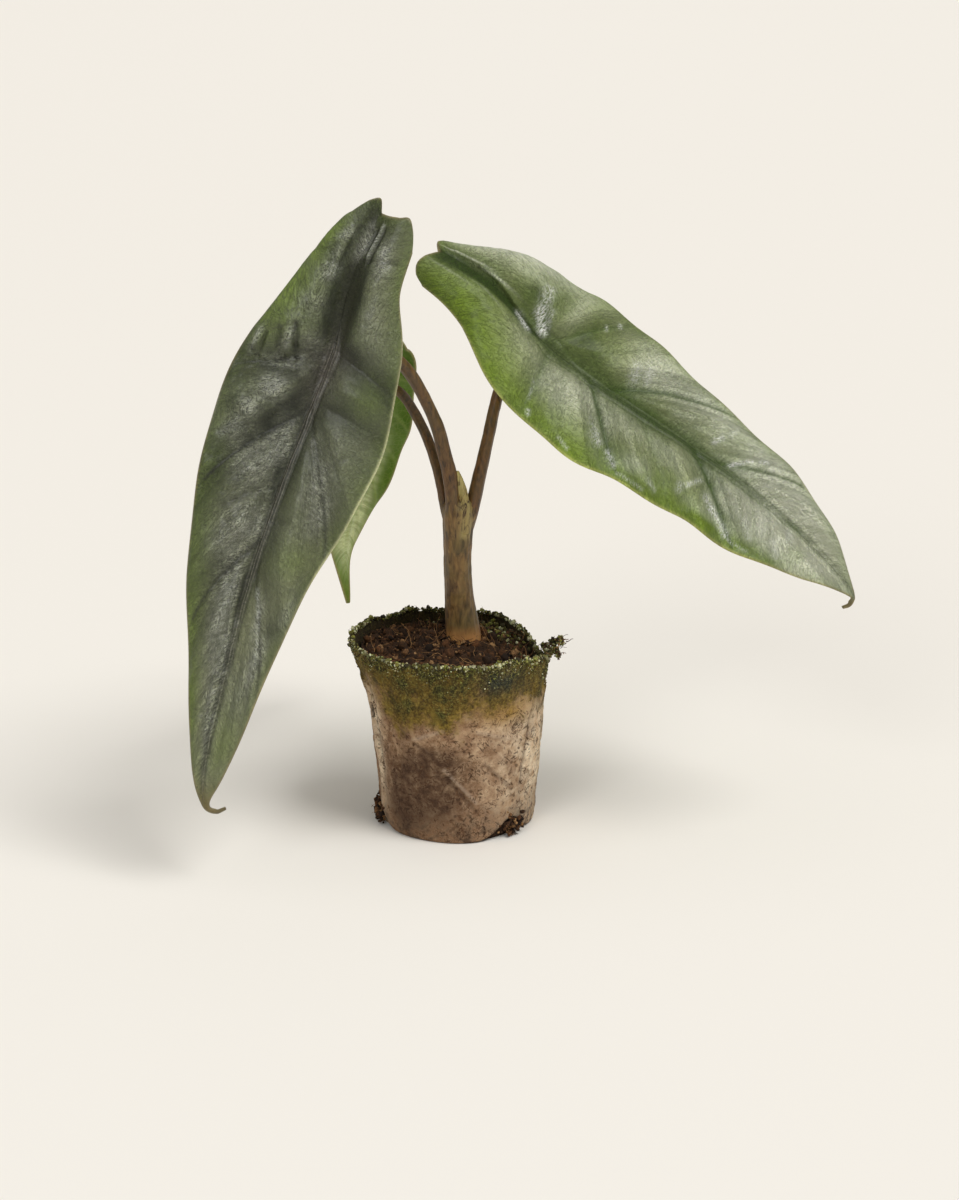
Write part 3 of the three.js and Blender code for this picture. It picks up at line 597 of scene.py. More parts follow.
def side_veins(form, u, b, between=0):
    """Distance in millimetres to each side vein, and its depth. between gives the finer veins in the gaps."""
    share = np.abs(b)
    width = half_width(form, u, b)
    found = []
    for second in (False, True):
        rows = np.array(form.veins[int(second)], float)
        if between:
            steps = np.arange(1, len(rows) * (between + 1)) / (between + 1)
            rows = smooth(rows, steps[steps % 1 > 0])
        for start, end, depth in rows:
            run = (end - start) * STATION_LENGTH
            away = np.abs(u - mix(start, end, share)) * STATION_LENGTH * width / np.hypot(width, run)
            found.append((np.where((b < 0) == second, away, FAR), depth))
    return found


def basal_distance(form, u, b):
    """Distance to the rib that runs back into each lobe."""
    behind = np.maximum(0, 1 - u / SEAT)
    away = np.abs(np.abs(b) - form.basal * behind**BASAL_POWER) * half_width(form, u, b)
    return np.where(u < SEAT, away, FAR)


def hollow(form, u, b):
    """1 along the deep veins and 0 on top of the bulges between them."""
    valleys = [(np.abs(b) * half_width(form, u, b), 1), (basal_distance(form, u, b), BASAL_SHARE)]
    valleys += side_veins(form, u, b)
    total = sum((depth * rise(away / BULGE_REACH)) ** VALLEY_BLEND for away, depth in valleys)
    return np.minimum(1, total ** (1 / VALLEY_BLEND))


def relief(form, u, b):
    share = np.abs(b)
    size = np.minimum(1, half_width(form, u, b) / FULL_RELIEF_WIDTH)
    bulge = form.bulge * size * (1 - hollow(form, u, b)) * (1 - share**4)
    return bulge + form.wave * size * share**3 * np.sin(WAVE_RATE * u + np.where(b > 0, 0, WAVE_SHIFT))


def blade_point(form, u, b):
    """A point of the blade's middle layer, at station u and at b from -1 to 1 across."""
    places = table(form, "place")
    along = unit(smooth(places, u + 1e-3) - smooth(places, u - 1e-3))
    facing = np.array(form.facing, float)
    level = unit(facing - (along @ facing)[..., None] * along)
    roll = np.radians(smooth(table(form, "roll"), u))[..., None]
    up = level * np.cos(roll) + np.cross(along, level) * np.sin(roll)
    across = np.cross(along, up)
    first = np.radians(two_sides(form, "angles", u, b, 0, 2))
    turn = np.radians(two_sides(form, "angles", u, b, 1, 3)) - first
    turn = np.where(np.abs(turn) < STRAIGHT, STRAIGHT, turn)
    width = half_width(form, u, b)
    last = first + turn * np.abs(b)
    out = width / turn * (np.sin(last) - np.sin(first)) * np.sign(b)
    lift = width / turn * (np.cos(first) - np.cos(last)) + relief(form, u, b)
    return smooth(places, u) + across * out[..., None] + up * lift[..., None]


def blade_normal(form, u, b):
    along = blade_point(form, u + 0.02, b) - blade_point(form, u - 0.02, b)
    across = blade_point(form, u, np.minimum(1, b + 0.02)) - blade_point(form, u, np.maximum(-1, b - 0.02))
    return unit(np.cross(across, along))


def patches(rows, at):
    """Soft patches on the blade: the sum of their strengths, at most 1."""
    total = np.zeros(at.u.shape)
    for station, over, reach, spread, strength in rows:
        total = total + strength * rise(np.hypot((at.u - station) / reach, (at.b - over) / spread))
    return np.clip(total, 0, 1)


# The fine relief, in millimetres: the midrib's bundle of lines, veins, cleft, margin and puckers
BUNDLE_LINE = 0.75
BUNDLE_RISE = 0.16
GROOVE_DEPTH = 0.2
VEIN_DEPTH = 0.3
FINE_VEIN_DEPTH = 0.08
FINE_RIDGE = 0.12
SIDE_RIDGE = 0.45
CLEFT_DEPTH = 0.25
# The bottom of the cleft is rounded: how much it is filled, and how wide
CLEFT_FILL = (0.7, 1.5)
MARGIN_ROUND = 0.55
MARGIN_LINE = 0.45
MARGIN_BAND = 3.0
PUCKER_SIZE = 5.0
# How strong the puckers are beside the wrinkles
PUCKER_SHARE = 3.2
# How far, in stations, the lobes' corners are drawn in
CORNER_ROUND = 0.1
# How far, in stations, the wrinkles lag behind towards the margin; in the lobes they run on ahead instead
LOBE_LAG = -0.5
SKIN_LAG = 0.35


def creases(rows, at):
    """Depth of short creases, each a straight line between two places on the blade."""
    total = np.zeros(at.u.shape)
    for u0, b0, u1, b1, depth, spread in rows:
        run, over = (u1 - u0) * STATION_LENGTH, (b1 - b0) * at.width
        x, y = (at.u - u0) * STATION_LENGTH, (at.b - b0) * at.width
        along = np.clip((x * run + y * over) / (run**2 + over**2), 0, 1)
        total = total + depth * rise(np.hypot(x - along * run, y - along * over) / spread)
    return total


def blade_grid(form, rows, columns):
    """The blade's points by station u and place across b, with distances there in millimetres."""
    across = np.linspace(-1, 1, 2 * columns + 1)
    quarter = 4 * np.abs(across)
    start = np.where(across >= 0, *(smooth(row, quarter) for row in form.ends))
    start = start + CORNER_ROUND * step(0.86, 1.0, np.abs(across)) ** 2
    tip = len(form.stations) - 1
    u = mix(start, tip, np.linspace(0, 1, rows + 1)[:, None])
    b = np.broadcast_to(across, u.shape)
    share = np.abs(b)
    width = half_width(form, u, b)
    from_edge = np.minimum((1 - share) * width, (u - start) * STATION_LENGTH + 0.02)
    return SimpleNamespace(
        u=u, b=b, share=share, width=width, sideways=b * width, from_edge=from_edge, to_tip=1 - u / tip,
        bulge=1 - hollow(form, u, b), basal=basal_distance(form, u, b), veins=side_veins(form, u, b),
        finer=np.minimum.reduce([away for away, _ in side_veins(form, u, b, between=2)]),
        inner=step(0.1, 1.5, from_edge) * np.minimum(1, width / FULL_RELIEF_WIDTH),
    )


def blade_skins(at):
    """Places on the blade laid flat: plain, drawn along the side veins, and in rings round the bulges."""
    flat = 0 * at.u
    lag = mix(LOBE_LAG, SKIN_LAG, step(0.8, 2.4, at.u)) * at.share
    nearest = np.minimum.reduce([np.abs(at.sideways), at.basal, *(away for away, _ in at.veins)])
    return (
        np.stack([at.u * STATION_LENGTH, at.sideways, flat], axis=-1),
        np.stack([(at.u - lag) * STATION_LENGTH, at.sideways, flat], axis=-1),
        np.stack([nearest, 0.35 * at.sideways, 0.2 * at.u * STATION_LENGTH], axis=-1),
    )


def blade_marks(form, at, place):
    """Where the blade's features lie, mostly from 0 to 1, and in crease the depth of its creases."""
    # The midrib's bundle of lines starts at the seat; behind it a cleft lies between the two basal ribs
    ahead = step(SEAT - 0.25, SEAT + 0.05, at.u)
    bundle = form.bundle * np.clip(1.7 * at.to_tip, 0.2, 1) * (1 + 0.9 * rise((at.u - SEAT - 0.1) / 0.25))
    astray = at.sideways - smooth(form.drift, at.u)
    middle, spread = (np.interp(at.u, form.cleft[0], row) for row in form.cleft[1:])
    behind = np.maximum(0.02, 1 - at.u / SEAT)
    thin = form.vein_width * (0.3 + 0.35 * (1 - at.share))
    return SimpleNamespace(
        behind_seat=1 - ahead,
        bundle=rise((astray / bundle) ** 2) * ahead,
        lines=0.5 + 0.5 * np.cos(TAU * astray / BUNDLE_LINE + 0.6 * noise(place / 3, 1.0)),
        groove=rise((np.abs(astray) - 1.25 * bundle) / 0.4) * ahead,
        cleft=rise(((at.b - middle) / spread) ** 2) * (1 - ahead),
        crest=rise(at.basal / 0.5) * (1 - ahead) * step(0.0, 0.2, behind),
        silver_sheen=patches(form.silver_sheen, at),
        vein=np.clip(sum(depth**2 * rise(away / thin) for away, depth in at.veins), 0, 1),
        crease=creases(form.creases, at),
    )


def fine_relief(form, at, mark, place, skin, rings):
    """Height in millimetres of what is finer than the solids, and the puckers in it."""
    # Wrinkles run from vein to vein beside the veins, in rings round the bulges' tops, and pebbled all over
    crossing = 1 - 2 * np.abs(noise(skin * [1.0, 0.5, 1.0], 1.2, 2))
    ringed = 1 - 2 * np.abs(noise(rings, 1.2, 2))
    pebbles = 1 - 2 * np.abs(noise(place, 1.3, 2))
    wrinkle = crossing + 0.4 * ringed * at.bulge + 0.5 * pebbles
    puckers = noise(place, PUCKER_SIZE, 2)
    first = at.b > 0
    fading = np.minimum(1, 2 * at.to_tip)
    rough = np.where(first, *form.wrinkle) * (0.7 + 0.9 * mark.silver_sheen)
    fine = rough * (wrinkle + PUCKER_SHARE * puckers) * at.inner
    fine = fine + np.where(first, *form.swell) * (at.bulge**1.5 - 0.6 * (1 - at.bulge) ** 2) * at.inner
    fine = fine - VEIN_DEPTH * mark.vein * at.inner
    fine = fine - FINE_VEIN_DEPTH * rise(at.finer / 0.5) * at.inner * step(0.05, 0.3, at.share)
    fine = fine + mark.bundle * BUNDLE_RISE * (1 + mark.lines) * fading - GROOVE_DEPTH * mark.groove * fading
    fill, wide = CLEFT_FILL
    fine = fine + fill * rise(at.sideways / wide) * mark.behind_seat * at.inner
    return fine - CLEFT_DEPTH * mark.cleft + form.crest * mark.crest - mark.crease, puckers


def leaf(name, form, rows, columns, materials):
    """A blade with two faces, a rounded margin, wrinkles and sunken veins above and ridges below."""
    at = blade_grid(form, rows, columns)
    place, skin, rings = blade_skins(at)
    mark = blade_marks(form, at, place)
    fine, puckers = fine_relief(form, at, mark, place, skin, rings)
    point = blade_point(form, at.u, at.b)
    normal = blade_normal(form, at.u, at.b)

    rounded = np.sqrt(np.clip(1 - (1 - np.clip(at.from_edge / MARGIN_ROUND, 0, 1)) ** 2, 0.06, 1))
    half = BLADE / 2 * rounded
    rib = MIDRIB_DEPTH * np.minimum(1, at.to_tip / MIDRIB_TAPER) * rise(at.sideways / MIDRIB_SPREAD)
    beside = np.minimum.reduce([at.basal, *(away for away, _ in at.veins)])
    ridge = SIDE_RIDGE * rise(beside / 0.5) * at.inner * (1 - 0.6 * at.share)
    ridge = ridge + FINE_RIDGE * rise(at.finer / 0.35) * at.inner
    below = half + np.maximum(rib, ridge) - 0.05 * puckers * at.inner - np.minimum(0, fine)
    top = point + normal * (half + fine * rounded)[..., None]
    bottom = point - normal * below[..., None]
    points = np.concatenate([top.reshape(-1, 3), bottom.reshape(-1, 3)])

    count = at.u.size
    faces_top = grid_faces(rows + 1, 2 * columns + 1)[:, ::-1]
    faces_bottom = faces_top[:, ::-1] + count
    index = np.arange(count).reshape(at.u.shape)
    loop = np.concatenate([index[0, :-1], index[:-1, -1], index[-1, :0:-1], index[:0:-1, 0]])
    following = np.roll(loop, -1)
    rim = np.stack([loop, following, following + count, loop + count], axis=1)
    faces = np.concatenate([faces_top, faces_bottom, rim])
    kinds = np.concatenate([np.zeros(len(faces_top)), np.ones(len(faces_bottom)), np.zeros(len(rim))])

    crease = np.clip(mark.crease, 0, 1)
    pale = patches(form.pale, at)
    along_rib = np.clip(2.5 * at.to_tip, 0, 1)
    numbers = {
        "bulge": np.clip(at.bulge - crease, 0, 1),
        "rib": mark.bundle * along_rib * (1 - 0.5 * pale),
        "lines": mark.lines,
        "groove": mark.groove * along_rib,
        "cleft": mark.cleft * step(*form.cleft_shade_start, at.u),
        "crest": mark.crest * form.crest,
        "vein": mark.vein * step(1.0, 0.85, at.share),
        "fine_vein": rise(at.finer / 0.6) * at.inner,
        "edge": rise(at.from_edge / MARGIN_LINE),
        "band": rise(at.from_edge / MARGIN_BAND),
        "fresh": patches(form.fresh, at),
        "silver_sheen": mark.silver_sheen,
        "shade": patches(form.shade, at) * step(0, 0.5, at.from_edge),
        "glint": np.clip(creases(form.glints, at), 0, 1),
        "pale": pale,
        "light_edge": patches(form.light_edge, at),
        "crease": crease,
        "tip": step(*form.tip, at.u),
        "seat": rise((at.u - SEAT - 0.3) / 0.45) * rise(at.share / 0.3),
        "rough": np.clip(np.where(at.b > 0, *form.texture) + 0.65 * mark.silver_sheen, 0, 1),
    }
    values = {key: np.tile(data.ravel(), 2) for key, data in numbers.items()}
    for key, data in (("place", place), ("skin", skin), ("rings", rings)):
        values[key] = np.tile(data.reshape(-1, 3), (2, 1))
    return add_piece(name, points, faces.tolist(), materials, [name], values, kinds)


def leaf_material(name, look):
    """The upper face: painted shade in hollows, painted sheen on silver bulges, fresh green patches, a mauve
    rib and a thin margin.
    """
    g = Graph(
        name, 0.4, Subsurface_Weight=0.08, Subsurface_Scale=0.001, Subsurface_Radius=(0.35, 0.6, 0.12),
        Specular_IOR_Level=look.sheen, Coat_Weight=look.coat, Coat_Roughness=look.coat_gloss,
    )
    place, skin, rings = (g.attribute(key) for key in ("place", "skin", "rings"))
    blotch = g.noise(place, 7, 4, 0.6)
    wobble = g.noise(skin, 1 / 0.7, output="Color")
    leather = g.cells(g.stretched(g.mix(0.3, place, wobble, "ADD"), 0.75), 1, "DISTANCE_TO_EDGE")
    folds = g.noise(g.stretched(skin, 1.3, 0.55), 0.8, 4, 0.6, 0.8)
    ringed = g.noise(g.stretched(rings, 1.5), 0.9, 4, 0.6, 0.6)
    wrinkles = g.mix(g.range("bulge", 0.2, 0.9, 0, 0.35), folds, ringed)
    # Thin cuts wander between the wrinkles, bumped in and filled with painted shade
    wander = g.mix(g.range("bulge", 0.3, 0.9, 0, 0.5), g.stretched(skin, 1, 0.45), rings)
    far = g.math("ABSOLUTE", g.math("SUBTRACT", g.noise(wander, 0.85, 3, 0.6, 1.6), 0.5))
    cuts = g.times(g.range(far, 0.042, 0.01), "rough")
    streak = g.noise(g.stretched(skin, 1.4, 0.25), 1, 3, 0.6)
    sparkle = g.noise(g.stretched(skin, 1.6, 0.5), 0.42, 3, 0.6, 0.5)
    glint = g.times("glint", g.range(sparkle, 0.42, 0.56, 0.1, 1))

    # Painted shade in the hollows and painted light on the bulges' tops
    g.shade = g.ramp("bulge", (0.05, look.deep), (0.45, look.mid), (0.85, look.high))
    g.over(look.warm, g.range(blotch, 0.35, 0.7), 0.4)
    # Paler places, partly the leaf's own tone and partly painted sheen
    g.over(look.pale, "pale")
    # Silver, partly the leaf's own cast and partly painted sheen on the bulges, broken by the wrinkles
    g.over(look.silver_sheen, "silver_sheen", g.range(wrinkles, 0.38, 0.6, look.broken, 1))
    # Painted shade in the shade patches
    g.over(look.deep, "shade", look.shade_strength)
    green = g.math("MAXIMUM", "fresh", g.times("band", look.margin_green))
    g.over(look.fresh, green, g.range(blotch, 0.25, 0.6, 0.6, 1))
    g.over(look.deep, g.range(streak, 0.45, 0.7), 0.2)
    g.over(look.deep, g.range(leather, 0.1, 0), look.crack)
    g.over(look.deep, "fine_vein", look.fine_vein)
    g.over(look.vein, "vein", look.vein_strength)
    # Painted shade in the cleft between the lobes
    g.over(look.cleft, "cleft", look.cleft_strength)
    # A lighter colour on the basal ribs' crest: painted highlight
    g.over(look.crest, "crest", 2)
    # Painted shade in the groove beside the midrib's bundle
    g.over(look.deep, "groove", 0.5)
    # The midrib's bundle of lines; on the bright leaf its dark green is painted shadow in the groove
    g.over(g.mix(g.range("lines", 0.45, 0.95), look.rib_dark, look.rib_light), "rib", look.rib_strength)
    g.over(look.mauve, "seat", look.mauve_strength)
    # Painted shade in the creases
    g.over(look.deep, "crease", 0.5)
    # Painted highlights along the glint streaks, broken up by the sparkle
    g.over(look.glint, glint, 0.85)
    g.over(look.tip, "tip", 0.8)
    g.over(g.mix("light_edge", look.edge, look.light_edge), "edge", 0.85)
    # Painted shade in the thin cuts
    g.over(look.deep, cuts, look.cuts)
    # Painted light and shade on the wrinkles: darker in their troughs, lighter on their ridges
    wrinkle_light_and_shade = g.range(wrinkles, 0.3, 0.68, 1 - look.contrast, 1 + look.contrast)
    g.shade = g.mix("rough", g.shade, g.mix(1, g.shade, wrinkle_light_and_shade, "MULTIPLY"))

    dull = g.range(wrinkles, 0.3, 0.7, look.gloss, look.gloss + 0.2)
    sunk = g.math("MAXIMUM", "cleft", g.math("MAXIMUM", "shade", "rib"))
    g.gloss(g.math("ADD", g.math("SUBTRACT", dull, g.times(glint, 0.25)), g.times(sunk, 0.3)))
    folded = g.times(g.math("SUBTRACT", wrinkles, 0.5), "rough")
    uncut = g.math("SUBTRACT", 1, cuts)
    depth = look.wrinkle
    pores = (g.noise(place, 0.3, 3, 0.6), 0.04)
    cells = g.range(leather, 0, 0.25)
    return g.done((cells, 0.6 * depth), (folded, 2.8 * depth), (uncut, 0.8 * depth), pores)


def underside_material(name, look):
    """The lower face: a pale net of veins on soft green that lets the light through."""
    g = Graph(
        name, 0.6, Subsurface_Weight=0.25, Subsurface_Scale=0.0015, Subsurface_Radius=(0.4, 0.8, 0.12),
        Specular_IOR_Level=0.2,
    )
    place = g.attribute("place")
    net = g.cells(place, 1.6, "DISTANCE_TO_EDGE")
    streak = g.noise(g.stretched(g.attribute("skin"), 1.2, 0.25), 2, 3, 0.6)
    g.shade = g.mix(g.range(g.noise(place, 8, 3, 0.55), 0.3, 0.7, 0, 0.8), look.under, look.under_light)
    g.over(look.under, "fresh", 0.6)
    # Paler places, partly painted sheen
    g.over(look.under_pale, "pale", g.range(streak, 0.35, 0.55, 0.5, 1))
    g.over(look.under_vein, g.range(net, 0.1, 0), 0.25)
    g.over(look.under_vein, g.math("MAXIMUM", "vein", "rib"), 0.6)
    g.over(look.tip, "tip", 0.2)
    g.over(look.edge, "edge", 0.8)
    return g.done((g.range(net, 0, 0.15), 0.03), (g.noise(place, 0.4, 3), 0.03))


DARK_LOOK = SimpleNamespace(
    deep="1c210c", mid="42492e", high="5d6447", warm="5e6240", silver_sheen="a0a391", fresh="6c802e",
    vein="222514", cleft="262814", crest="585e3c", rib_dark="2a2b20", rib_light="7e796e", tip="8c763c",
    edge="968a64", pale="888c6a", glint="bec2b6", under="54682c", under_light="748648", under_vein="6e6046",
    under_pale="7c8658", light_edge="f6f8c0", cuts=0.75, mauve="605850", mauve_strength=0.35, fine_vein=0.15,
    margin_green=0.3, vein_strength=0.9, rib_strength=0.85, crack=0.12, cleft_strength=0.85,
    shade_strength=0.85, coat=0.44, coat_gloss=0.32, gloss=0.4, sheen=0.35, wrinkle=0.21, broken=0.45,
    contrast=0.18,
)
BRIGHT_LOOK = SimpleNamespace(
    deep="3e5216", mid="687838", high="7e8a54", warm="8e9362", silver_sheen="bec1a8", fresh="708724",
    vein="384e12", cleft="2a3c06", crest="9ca272", rib_dark="2e4012", rib_light="485826", tip="6e542c",
    edge="a09268", pale="d8dbc6", glint="f6f8f2", under="4a6a02", under_light="76922c", under_vein="8c9c50",
    under_pale="d8e0ac", light_edge="ced678", cuts=0.3, mauve="788054", mauve_strength=0.2, fine_vein=0.2,
    margin_green=0.4, vein_strength=0.9, rib_strength=0.9, crack=0.1, cleft_strength=0.95,
    shade_strength=0.7, coat=0.14, coat_gloss=0.28, gloss=0.42, sheen=0.3, wrinkle=0.13, broken=0.7,
    contrast=0.12,
)

# Stem and leaf stalks

STEM = [
    [2.4, 4.6, 33, 2.6], [2.2, 4.4, 38, 3.8], [1.9, 4.1, 44, 4.4], [1.6, 4.0, 49, 4.3], [0.9, 3.6, 55, 3.8],
    [0.6, 3.0, 60, 3.6], [0.3, 2.5, 66, 3.5], [0.3, 2.0, 71, 3.5], [0.4, 1.7, 76, 3.8], [0.6, 1.4, 81, 3.9],
    [0.4, 1.2, 84, 2.6],
]
SHEATH = [
    [1.9, -0.6, 76, 1.5], [2.2, -0.8, 82, 1.3], [1.9, -0.8, 86, 1.0], [1.1, -0.9, 89.5, 0.7],
    [0.3, -1.1, 92, 0.4],
]
LEFT_STALK = [
    [-0.7, 0.2, 76.5, 1.7], [-0.9, -0.2, 83, 1.85], [-1.5, -1.2, 90, 1.85], [-2.9, -2, 96.5, 1.75],
    [-4.4, -3, 103, 1.7], [-6.4, -4, 108.5, 1.5], [-8.8, -6, 114, 1.5], [-11.6, -8.6, 119.3, 1.5],
    [-14.8, -11, 123.4, 1.5], [-18.8, -13, 126.3, 1.5], [-23.6, -15, 127.4, 1.6],
]
RIGHT_STALK = [
    [2.9, 1.6, 76.5, 1.3], [3.7, 1.5, 80.5, 1.7], [4.9, 1.7, 86, 1.75], [7.3, 3, 96.5, 1.55],
    [9.4, 5, 106, 1.45], [10.6, 6.2, 110.5, 1.45], [13, 7, 115, 1.45], [16, 6.4, 118.6, 1.5],
]
REAR_STALK = [
    [-1.7, 3.7, 76.5, 1.3], [-2.9, 3.6, 82, 1.4], [-4.1, 3.9, 88.5, 1.35], [-5.5, 4.8, 93.5, 1.3],
    [-7.8, 7, 99.5, 1.25], [-11.1, 11.5, 104.6, 1.25], [-13.6, 16.5, 106.8, 1.25], [-16, 22.5, 106.9, 1.3],
]
STALK_TURN = 3
# How far each stalk runs on into its leaf's midrib
STALK_INSET = 0.9
# The height below which the stalks are grown into the stem
STALK_FREE = 97


def stalk_rows(rows, form):
    """A stalk's rows with the last ones set square under its leaf's seat, where it widens into the midrib."""
    here, middle = np.array([float(SEAT)]), np.array([0.0])
    seat = blade_point(form, here, middle)[0]
    normal = blade_normal(form, here, middle)[0]
    radius = rows[-1][3]
    end = BLADE / 2 + MIDRIB_DEPTH + GAP
    last = [[*(seat - normal * (end + STALK_TURN)), radius], [*(seat - normal * end), radius * 1.12]]
    return [*rows, *last, [*(seat - normal * (end - STALK_INSET)), radius * 0.9]]


def stalk(name, rows, material):
    def ribs(share, angle):
        return 0.05 * np.cos(7 * angle + 2 * share) + 0.03 * np.cos(15 * angle - 5 * share)

    points, faces = tube(rows, 30, 120, ribs)
    points = points + 0.05 * unit(noise(np.stack([points + k for k in (0, 9, 17)], axis=-2), 2.5))
    return add_piece(name, points, faces, [material], [name])


def fused(name, parts, voxel, rounds):
    """Points and faces of several closed shapes grown into one, with softened joins."""
    points, faces, _ = merge([(p, f, {}) for p, f in parts])
    mesh = bpy.data.meshes.new(name)
    mesh.from_pydata(points.tolist(), [], faces)
    shape = bpy.data.objects.new(name, mesh)
    bpy.context.scene.collection.objects.link(shape)
    remesh = shape.modifiers.new("remesh", "REMESH")
    remesh.mode = "VOXEL"
    remesh.voxel_size = voxel
    soften = shape.modifiers.new("soften", "SMOOTH")
    soften.iterations = rounds
    bpy.context.view_layer.update()
    made = shape.evaluated_get(bpy.context.evaluated_depsgraph_get()).to_mesh()
    points = np.array([v.co[:] for v in made.vertices])
    faces = [list(p.vertices) for p in made.polygons]
    bpy.data.objects.remove(shape)
    return points, faces


def distance_to_line(points, line):
    """Distance from each point to the nearest of the line's short pieces."""
    rows = smooth(np.array(line)[:, :3], np.linspace(0, len(line) - 1, 40))
    return np.min(np.linalg.norm(points[:, None] - rows[None], axis=-1), axis=1)


def stem(material):
    """The wrapped leaf bases, grown round the roots of the stalks, with the sheath's edge."""
    parts = [tube(STEM, 40, 80), tube(SHEATH, 20, 30)]
    for rows in (LEFT_STALK, RIGHT_STALK, REAR_STALK):
        low = [row for row in rows if row[2] < STALK_FREE]
        last = len(low) - 1
        swollen = [
            [x, y, z, r + 0.2 * (1 - k / last) - 0.35 * k / last] for k, (x, y, z, r) in enumerate(low)
        ]
        parts.append(tube(swollen, 20, 40))
    points, faces = fused("stem_form", parts, 0.28, 5)
    middle = smooth(np.array(STEM)[:, :2], np.interp(points[:, 2], np.array(STEM)[:, 2], range(len(STEM))))
    angle = np.arctan2(points[:, 1] - middle[:, 1], points[:, 0] - middle[:, 0])
    out = unit(np.stack([np.cos(angle), np.sin(angle), 0 * angle], axis=-1))
    ribs = 0.05 * np.cos(9 * angle + 0.03 * points[:, 2]) + 0.04 * np.cos(17 * angle)
    points = points + out * (ribs + 0.1 * noise(points, 3.0, 2))[:, None]
    values = {"sheath": rise(distance_to_line(points, SHEATH) / 1.5), "foot": step(51.5, 47, points[:, 2])}
    return add_piece("stem", points, faces, [material], ["stem"], values)


def stalk_material():
    coat = {"Coat_Weight": 0.06, "Coat_Roughness": 0.3}
    g = Graph("stalk_skin", 0.48, Subsurface_Weight=0.06, Subsurface_Scale=0.001, **coat)
    mottle = g.noise(g.place(z=330), 0.9, 4, 0.6, 0.6)
    g.shade = g.ramp(mottle, (0.32, "2c1e0e"), (0.47, "5c3f1c"), (0.64, "765228"))
    g.over("5c4c28", g.range(g.noise(g.place(), 7, 3), 0.4, 0.65), 0.5)
    return g.done((mottle, 0.05), (g.noise(g.place(z=150), 0.35), 0.04))


def stem_material():
    g = Graph("stem_skin", 0.5, Subsurface_Weight=0.06, Subsurface_Scale=0.001)
    mottle = g.noise(g.place(z=300), 1.1, 4, 0.6, 0.8)
    blotch = g.noise(g.place(), 6, 3)
    g.shade = g.ramp(mottle, (0.34, "3c2a14"), (0.48, "6c502a"), (0.66, "8e6e3e"))
    g.over("685c34", g.range(blotch, 0.42, 0.65), 0.5)
    g.over("c6b874", "sheath", g.range(mottle, 0.38, 0.5))
    g.over("d4985a", "foot", g.range(blotch, 0.3, 0.6, 0.4, 0.85))
    return g.done((mottle, 0.08), (g.noise(g.place(z=120), 0.4), 0.06))


# Pot: paper sleeve, soil and moss

SLEEVE_PROFILE = [
    [0, 19.2], [4, 19.9], [10, 20.4], [18, 20.9], [24, 21.5], [31, 22.2], [38, 23.2], [43, 24.2], [49, 25.2],
]
SLEEVE_FLARE = 0.17
SLEEVE_WALL = 1.0
SLEEVE_DENTS = [[3, 0.25, 0.06, 0], [5, 0.2, -0.11, 2]]
RIM_HEIGHT = 47.3
RIM_LEAN = 0.8
RIM_LEAN_ANGLE = 210
RIM_DIP = 5.5
RIM_DIP_ANGLE = 10
RIM_DIP_SPREAD = 28
RIM_RAGS = [[7, 0.35, 1], [13, 0.25, 0]]
RIM_SHIFT = -1.95
RIM_SHIFT_POWER = 5
FOOT_NOTCHES = [[187, 5.4, 17], [314, 5, 16]]
SOIL_BELOW_RIM = 3
SOIL_MOUND = 2.4
SOIL_CLOD = 0.7
SOIL_CLODS = [(4, 11, 2, 2), (9, 19, 3, 5)]
SOIL_RADIUS = 22.5
# About where the soil's edge is, from the middle and from the floor
SOIL_EDGE = 22
SOIL_LEVEL = 45
SOIL_FIBRES = 260
# Crumbs on the soil: how many, how finely built, least radius, how much more, and how rare the large ones are
SOIL_CRUMBS = ((60, 2, 0.7, 0.8, 1.5), (560, 2, 0.3, 0.5, 2.5), (2600, 1, 0.12, 0.22, 1.0))
# Where the stem enters the soil, and how near to it the crumbs come
STEM_FOOT = (1.8, 4.1)
STEM_CLEARANCE = 3.6
KNOT_CRUMBS = 34
KNOT_FIBRES = 14
# Root knots at the foot: angle, distance from the middle and height
ROOT_KNOTS = [[186, 18.9, 2.3], [193, 18.7, 1.7], [180, 18.6, 1.6], [312, 18.7, 2.1], [319, 18.5, 1.5]]
# Moss on the rim, in clods, crumbs and specks: how many, how finely built, least radius, how much more, how
# far they spread, and the share of them that sits on the paper below the rim
RIM_CRUMBS = ((420, 2, 0.3, 0.4, 0.3, 0.0), (900, 1, 0.15, 0.25, 0.5, 0.2), (2600, 1, 0.1, 0.13, 0.6, 0.5))
# The mound at the back right, and the pale lumps at the right end of the rim and along its front: angle,
# spread and how many
MOSS_MOUND = (52, 22, 330)
PALE_LUMPS = ((345, 6, 60), (292, 24, 60), (225, 14, 36))
TUFT_CRUMBS = 46
TUFT_FIBRES = 7
# Lumps of the tuft at the right: place and radius
MOSS_TUFT = [
    [23.2, 0.0, 44.2, 1.9], [24.8, -0.8, 45.2, 1.5], [26.1, 0.2, 46.6, 1.1], [24.4, 1.4, 46.3, 1.3],
    [25.4, -1.9, 44.0, 1.1], [26.2, -0.4, 47.9, 0.8], [22.6, 2.6, 44.8, 1.5], [22.9, -3.0, 45.2, 1.5],
]


def angle_from(angle, degrees):
    """Degrees between an angle and a direction, from -180 to 180."""
    return (np.degrees(angle) - degrees + 180) % 360 - 180


def ripples(rows, angle):
    return sum(size * np.sin(many * angle + start) for many, size, start in rows)


def rim_height(angle):
    dip = RIM_DIP * rise(angle_from(angle, RIM_DIP_ANGLE) / RIM_DIP_SPREAD)
    lean = RIM_LEAN * np.cos(angle - math.radians(RIM_LEAN_ANGLE))
    return RIM_HEIGHT + lean - dip + ripples(RIM_RAGS, angle)


